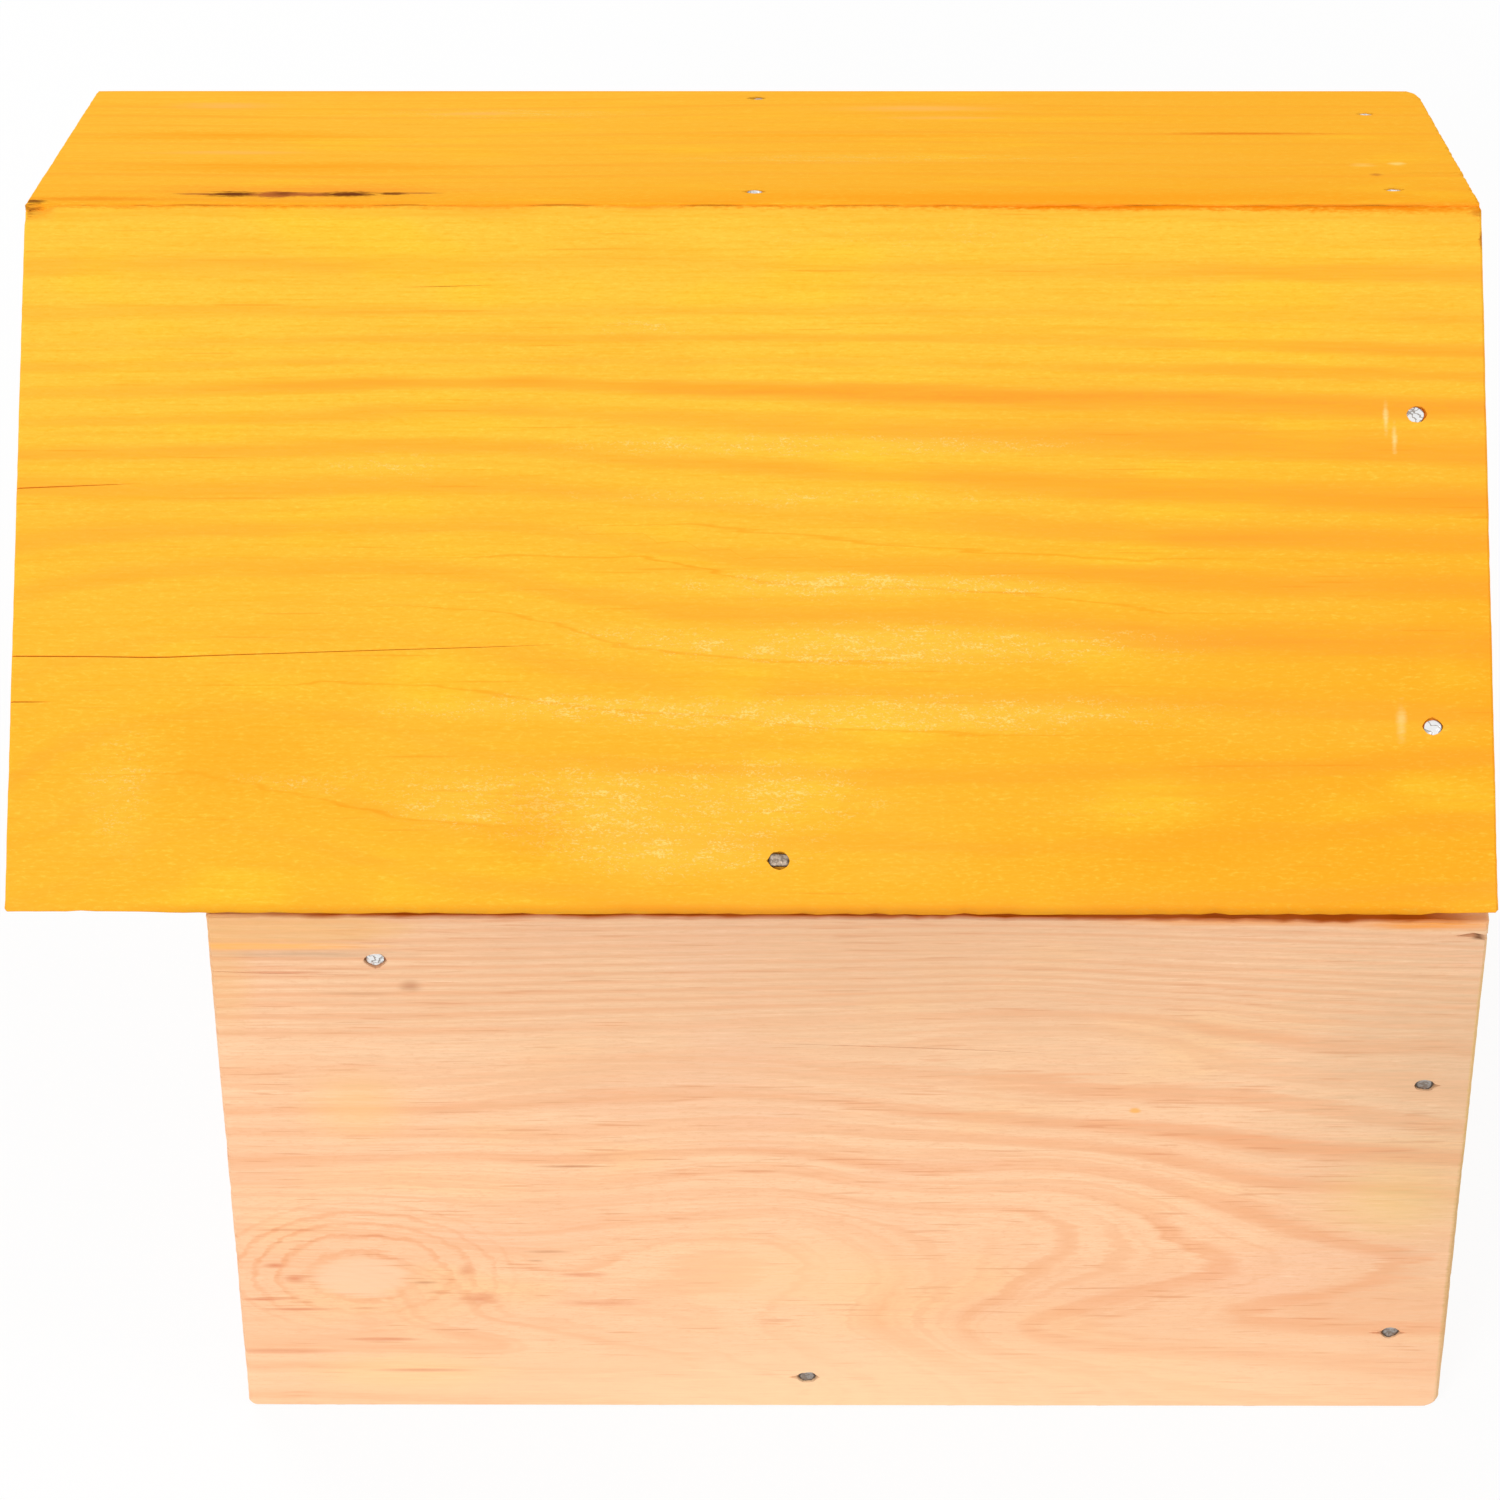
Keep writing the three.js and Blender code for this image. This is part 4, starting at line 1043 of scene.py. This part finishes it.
left_roof_marks = on_slope(-1, [
    (-50, 8, 24, 7, 1, (254, 154, 50), .7),
    (-61, 6.2, 4, 1.1, .7, pitch_red, .7),
    (-57.4, 6, 4.2, 2.3, .8, pitch_dark, 1.1),
    (-52.6, 5.8, 3.6, 2.8, .6, pitch_red, 1.2),
    (-51.6, 6.2, 2.2, 1.8, .9, pitch_dark, .8),
    (-49, 5.8, 3.4, 1.9, .7, pitch_red, 1),
    (-44.8, 6, 4.2, 2.3, .8, pitch_dark, 1.1),
    (-39.8, 6.3, 2.2, 1.2, .6, pitch_dark, .9),
    (-37, 6.6, 3, .8, .7, pitch_red, .7),
    # A hairline split shown by colour alone: its shade painted as a darker orange line.
    (57, 47.6, 12, 1.3, .8, (232, 112, 20), .6),
    (-63, 68, 9, 3.4, 1, pale_stain, .9),
    (-33, 62, 7, 2, 1, pale_stain, .8),
    (-60, 34, 12, 2, 1, pale_stain, .7),
    (19, 66, 15, 3, 1, pale_stain, .9),
    (22, 59, 10, 2, 1, pale_stain, .7),
    (-60, 46, 26, 5, 1, rich_stain, .7),
    (-52, 24, 30, 6, 1, rich_stain, .7),
    (10, 46, 30, 2, 1, rich_stain, .6),
    (30, 4, 60, 5, 1, rich_stain, .8),
    (-72, 3, 12, 2, 1, (246, 144, 30), .7),
    (-79.2, 1.2, 1.8, 1.6, .8, pitch_dark, .9),
    (70, 19, 1, 1.4, .9, pitch_red, .6),
    (73, 26.5, 1.3, 1.6, .8, (255, 216, 120), .8),
    (69, 25.5, 2, 1.8, 1, (255, 206, 104), .6),
])
settle(left_roof, "left_roof_board", "stained_pine", stained_pine("left_roof_stain", 5, left_roof_marks),
       roof_split)


# The nails are small steel brads, driven in by hand until their heads lie just under the wood's face.
# Their heads are dented by the hammer; the one at the right eave has been struck nearly square.
nail_length, nail_sink = 20, 0.2
head_radius, head_thickness, shank_radius, point_length = 0.95, 0.5, 0.6, 2


def steel_finish(name, tint, rough, darkening_share):
    """Dented and scratched steel, darker round the rim and in dents, with a painted highlight on the upper
    side.
    """
    finish, shader, where = new_finish(name)
    dents = where.mottle((2.2, 2.2, 2.2), 3.0, 0.6)
    scratches = where.mottle((1.4, 7, 3.4), 2.0, 0.6)
    darkening = (written(where, "rim") * 0.7 + dents * 0.6).ease(0.95 - darkening_share, 1.25 - darkening_share)
    crease = (where.mottle((0.9, 0.7, 0.9), 2.0, 0.5, (4, 1, 2)) - 0.5).math("ABSOLUTE").ease(0.035, 0.012)
    colour = (scratches * 0.4).mix(paint(*tint), paint(240, 240, 236)).under(
        (crease * 0.75, (124, 108, 94)),
        (darkening * 0.8, (74, 66, 60)),
        (written(where, "lit") * (0.3 + dents) * 0.8, (226, 226, 224)))
    finish_with(shader, colour, rough + dents * 0.15 + darkening * 0.25, dents * 0.6 + scratches * 0.4, 0.12, 0.5)
    shader.inputs["Metallic"].default_value = 0.85
    return finish


bright_steel = steel_finish("bright_brad_steel", (232, 232, 232), 0.16, 0.1)
grey_steel = steel_finish("grey_brad_steel", (124, 112, 104), 0.34, 0.40)
brown_steel = steel_finish("brown_brad_steel", (140, 112, 82), 0.34, 0.30)

bpy.ops.object.select_all(action="DESELECT")
bpy.ops.mesh.primitive_cylinder_add(vertices=32, radius=head_radius * MM, depth=head_thickness * MM,
                                    location=(0, 0, -head_thickness / 2 * MM), end_fill_type="NGON")
brad = bpy.context.active_object
brad.name = brad.data.name = "brad"
bpy.ops.object.transform_apply(location=True, rotation=True, scale=True)
with editing(brad):
    pick(brad, "faces", lambda face: face.normal.z < -0.9)
    bpy.ops.mesh.inset(thickness=(head_radius - shank_radius) * MM)
    for run in (nail_length - point_length - head_thickness, point_length):
        bpy.ops.mesh.extrude_region_move(TRANSFORM_OT_translate={"value": (0, 0, -run * MM)})
    bpy.ops.transform.resize(value=(0.06, 0.06, 1))
    pick(brad, "faces", lambda face: face.normal.z > 0.9)
    for step in (0.1, 0.2, 0.2, 0.2):
        bpy.ops.mesh.inset(thickness=step * MM)
    bpy.ops.mesh.poke()


def copied(piece, name):
    """A copy of a piece with a mesh of its own."""
    twin = piece.copy()
    twin.data = piece.data.copy()
    twin.name = twin.data.name = name
    bpy.context.scene.collection.objects.link(twin)
    return twin


def drive(place, face_point, face_out, lean, finish, seed, square=0.0):
    """Copies the brad, dents its head, and lays it where its CAD node is."""
    low, high = box_of(place + "_nail")
    tip = Vector((low.x if face_out.x > 0 else high.x, (low.y + high.y) / 2,
                  low.z if face_out.z > 0.1 else (low.z + high.z) / 2))
    tilt = math.acos(min(1, face_out.dot(face_point - tip) / (nail_length + nail_sink)))
    axis = Matrix.Rotation(lean * tilt, 3, "Y") @ face_out
    top = tip + axis * nail_length
    nail = copied(brad, place + "_brad")
    rims = []
    for vertex in nail.data.vertices:
        x, y, z = vertex.co / MM
        from_axis = math.hypot(x, y)
        rims.append(min(1, (from_axis / head_radius) ** 3) if z > -0.2 else 1)
        if z > -head_thickness - 0.05:
            dent = ripple(x * 1.3 + seed * 5, y * 1.3, seed)
            if z > -0.1:
                vertex.co.z += (-0.06 * (from_axis / head_radius) ** 2 + 0.02 + 0.12 * dent) * MM
            turn = math.atan2(y, x)
            corners = (abs(math.cos(turn)) ** 8 + abs(math.sin(turn)) ** 8) ** -0.125
            outline = 1 + square * (corners - 1) + 0.09 * ripple(x * 1.4, y * 1.4, seed * 3)
            vertex.co.x *= outline * (1 - 0.3 * square)
            vertex.co.y *= outline * (1 + 0.12 * square)
    turn = Vector((0, 0, 1)).rotation_difference(axis).to_matrix().to_4x4()
    nail.data.transform(Matrix.Translation(top * MM) @ turn)
    write_on(nail, "rim", rims)
    # The upper side of each head gets a painted highlight, weaker on a squarer head.
    upper = (points_of(nail)[:, 2] - top.z) / head_radius
    write_on(nail, "lit", np.clip(2.2 * upper - 1, 0, 1) * (1 - square))
    settle(nail, place + "_nail", "steel", finish)


cad_ridge_gap = box_of("right_roof_board")[0].x
for number, (side, outward) in enumerate((("right", 1), ("left", -1))):
    wall_out = Vector((outward, 0, 0))
    ridge_point = Vector((outward * cad_ridge_gap, 0, roof_ridge))
    roof_out = Vector((outward * math.sin(roof_pitch), 0, math.cos(roof_pitch)))
    seeds = iter(range(7 * number + 1, 7 * number + 8))
    for place in ("floor", "gable", "lower_back", "upper_back"):
        steel = bright_steel if place == "gable" else grey_steel
        drive(f"{side}_{place}", wall_out * right_wall_high.x, wall_out, 0, steel, next(seeds))
    for place in ("upper_roof", "lower_roof"):
        drive(f"{side}_{place}", ridge_point, roof_out, 0, bright_steel, next(seeds))
    squareness = 1.0 if side == "right" else 0.3
    drive(f"{side}_eave", ridge_point, roof_out, outward, brown_steel, next(seeds), squareness)
drive("ridge", ridge_point, roof_out, -1, bright_steel, 20)
bpy.data.objects.remove(brad)


# The canes are dried bamboo, each cut just in front of a node, so that it is a tube with a closed rear.
# They are stacked from the floor up to the gable board, pushed back against the panel.
unit_radius, unit_length, unit_node = 7.5, 115.0, 9.0
unit_bore = 0.66 * unit_radius
node_drift = [0, 0.16, 0.05, 0.27, 0.02, 0.11, 0.08, 0.21]  # nodes forward, by the longest cane's length
longest_cane, node_inset = 115.9, 9

bore_steps = [30, 60, 88, 104, 111, 113.4, 114.6]
skin_steps = [114.6, 113.6, 112.4, 110, 106, 98, 86, 72, 58, 44, 30, 20, 14, 12.2]
node_steps = [(11.2, 0.10), (10.3, 0.40), (9.8, 0.36), (9.2, 0.12), (8.7, 0.16), (8.1, 0.40), (7.4, 0.26),
              (6.4, 0.0)]
cane_steps = [(unit_bore, step) for step in bore_steps]
cane_steps += [(radius, unit_length)
               for radius in (unit_bore + 0.25, unit_bore + 0.9, unit_radius - 0.9, unit_radius - 0.3)]
cane_steps += [(unit_radius, step) for step in skin_steps]
cane_steps += [(unit_radius + swell, step) for step, swell in node_steps]
cane_steps += [(unit_radius, 3.5), (unit_radius, 0.3), (unit_radius - 0.3, 0), (unit_bore + 0.25, 0),
               (unit_bore, 0.3), (unit_bore, unit_node - 1.2)]

bpy.ops.object.select_all(action="DESELECT")
bpy.ops.mesh.primitive_circle_add(vertices=44, radius=unit_bore * MM, fill_type="NGON",
                                  location=(0, -(unit_node + 1.2) * MM, 0), rotation=(math.pi / 2, 0, 0))
cane = bpy.context.active_object
cane.name = cane.data.name = "cane"
bpy.ops.object.transform_apply(location=True, rotation=True, scale=True)
with editing(cane):
    bpy.ops.mesh.select_mode(type="EDGE")
    bpy.ops.mesh.select_all(action="SELECT")
    last_radius, last_step = unit_bore, unit_node + 1.2
    for radius, step in cane_steps:
        bpy.ops.mesh.extrude_edges_move(TRANSFORM_OT_translate={"value": (0, -(step - last_step) * MM, 0)})
        bpy.ops.transform.resize(value=(radius / last_radius, 1, radius / last_radius))
        last_radius, last_step = radius, step
    bpy.ops.mesh.edge_face_add()
    bpy.ops.mesh.select_all(action="SELECT")
    bpy.ops.mesh.normals_make_consistent(inside=False)


def bamboo_finish(name):
    """Dry bamboo: a waxy streaked skin, pale cut ends full of fine vessels, and a papery bore."""
    finish, shader, where = new_finish(name)
    fine = where.mottle((2.6, 0.05, 2.6), 3.0, 0.6)
    broad = where.mottle((0.45, 0.02, 0.45), 2.0, 0.5)
    blotch = where.mottle((0.22, 0.06, 0.22), 4.0, 0.65, (5, 1, 8))
    end, bore = written(where, "end"), written(where, "bore")
    skin = (broad * 0.6 + written(where, "tone") * 0.7).ease(0.35, 0.95)
    skin = skin.mix(paint(226, 196, 134), paint(196, 158, 92)).under(
        (fine.ease(0.45, 0.75) * 0.45, (176, 134, 74)),
        (blotch.ease(0.60, 0.72) * 0.55, (142, 100, 56)),
        (written(where, "node") * 0.55, (150, 112, 64)))
    grain = where.mottle((1.1, 0.2, 1.1), 3.0, 0.6, (3, 3, 3))
    vessels = where.node("ShaderNodeTexVoronoi", {"feature": "F1"},
                         {"Vector": where.shift("MULTIPLY", (1.7, 0.12, 1.7)), "Scale": 1.0}, "Distance")
    cut = grain.ease(0.3, 0.7).mix(paint(234, 212, 160), paint(214, 184, 124)).under(
        (vessels.ease(0.34, 0.18) * 0.6, (150, 108, 62)))
    paper = grain.ease(0.35, 0.65).mix(paint(212, 184, 130), paint(176, 140, 88))
    rough = 0.38 + end * 0.35 + bore * 0.4 + fine * 0.12
    finish_with(shader, bore.mix(end.mix(skin, cut), paper), rough, fine * 0.6 + blotch * 0.2, 0.08, 0.35)
    return finish


cane_bamboo = bamboo_finish("dry_bamboo")
base = points_of(cane)
run_back = -base[:, 1]
from_axis = np.hypot(base[:, 0], base[:, 2])
inside = (run_back < unit_length - 0.45) & (run_back > 0.35)
written_on_cane = {
    "end": ((run_back > unit_length - 0.45) | (run_back < 0.35)) & (from_axis > unit_bore - 0.02),
    "bore": (from_axis < unit_bore + 0.02) & inside,
    "node": np.exp(-((run_back - 9.2) / 0.5) ** 2) * (from_axis > unit_bore + 0.5),
}
for number in range(1, 26):
    node = f"cane_{number:02d}"
    low, high = box_of(node)
    middle, length = (low + high) / 2, high.y - low.y
    shape = (high.x - low.x) / 2 / (unit_radius + 0.4)
    node_at = node_inset + longest_cane * node_drift[(number - 1) % len(node_drift)]
    piece = copied(cane, f"bamboo_{number:02d}")
    slope_x, slope_z = [0.02 * ripple(number * 1.7, part) for part in (0, 4)]
    oval = 1 + 0.02 * ripple(number * 2.3, 9)
    lengthwise = np.interp(run_back, [0, 5.5, 12.5, unit_length], [0, node_at - 3.5, node_at + 3.5, length])
    for vertex, run in zip(piece.data.vertices, lengthwise):
        x, y, z = vertex.co / MM
        radial, turn = math.hypot(x, z), math.atan2(z, x)
        front = max(0, 1 - (length - run) / 4)
        uneven = 1 + 0.018 * ripple(math.cos(turn) * 1.2 + number, math.sin(turn) * 1.2, run * 0.02)
        if radial < unit_bore + 0.3:
            uneven += 0.05 * ripple(math.cos(turn) * 1.6, math.sin(turn) * 1.6 + number, run * 0.03)
        torn = front * (0.22 * ripple(x * 0.9, number, z * 0.9) + (slope_x * x + slope_z * z) * 1.4)
        vertex.co = Vector((middle.x + x * shape * uneven * oval, high.y - run + max(0, torn + 0.15 * front),
                            middle.z + z * shape * uneven / oval)) * MM
    for name, values in written_on_cane.items():
        write_on(piece, name, values)
    write_on(piece, "tone", np.full(len(base), 0.5 + 0.5 * ripple(number * 0.77, 2, 6)))
    settle(piece, node, "bamboo", cane_bamboo)
bpy.data.objects.remove(cane)
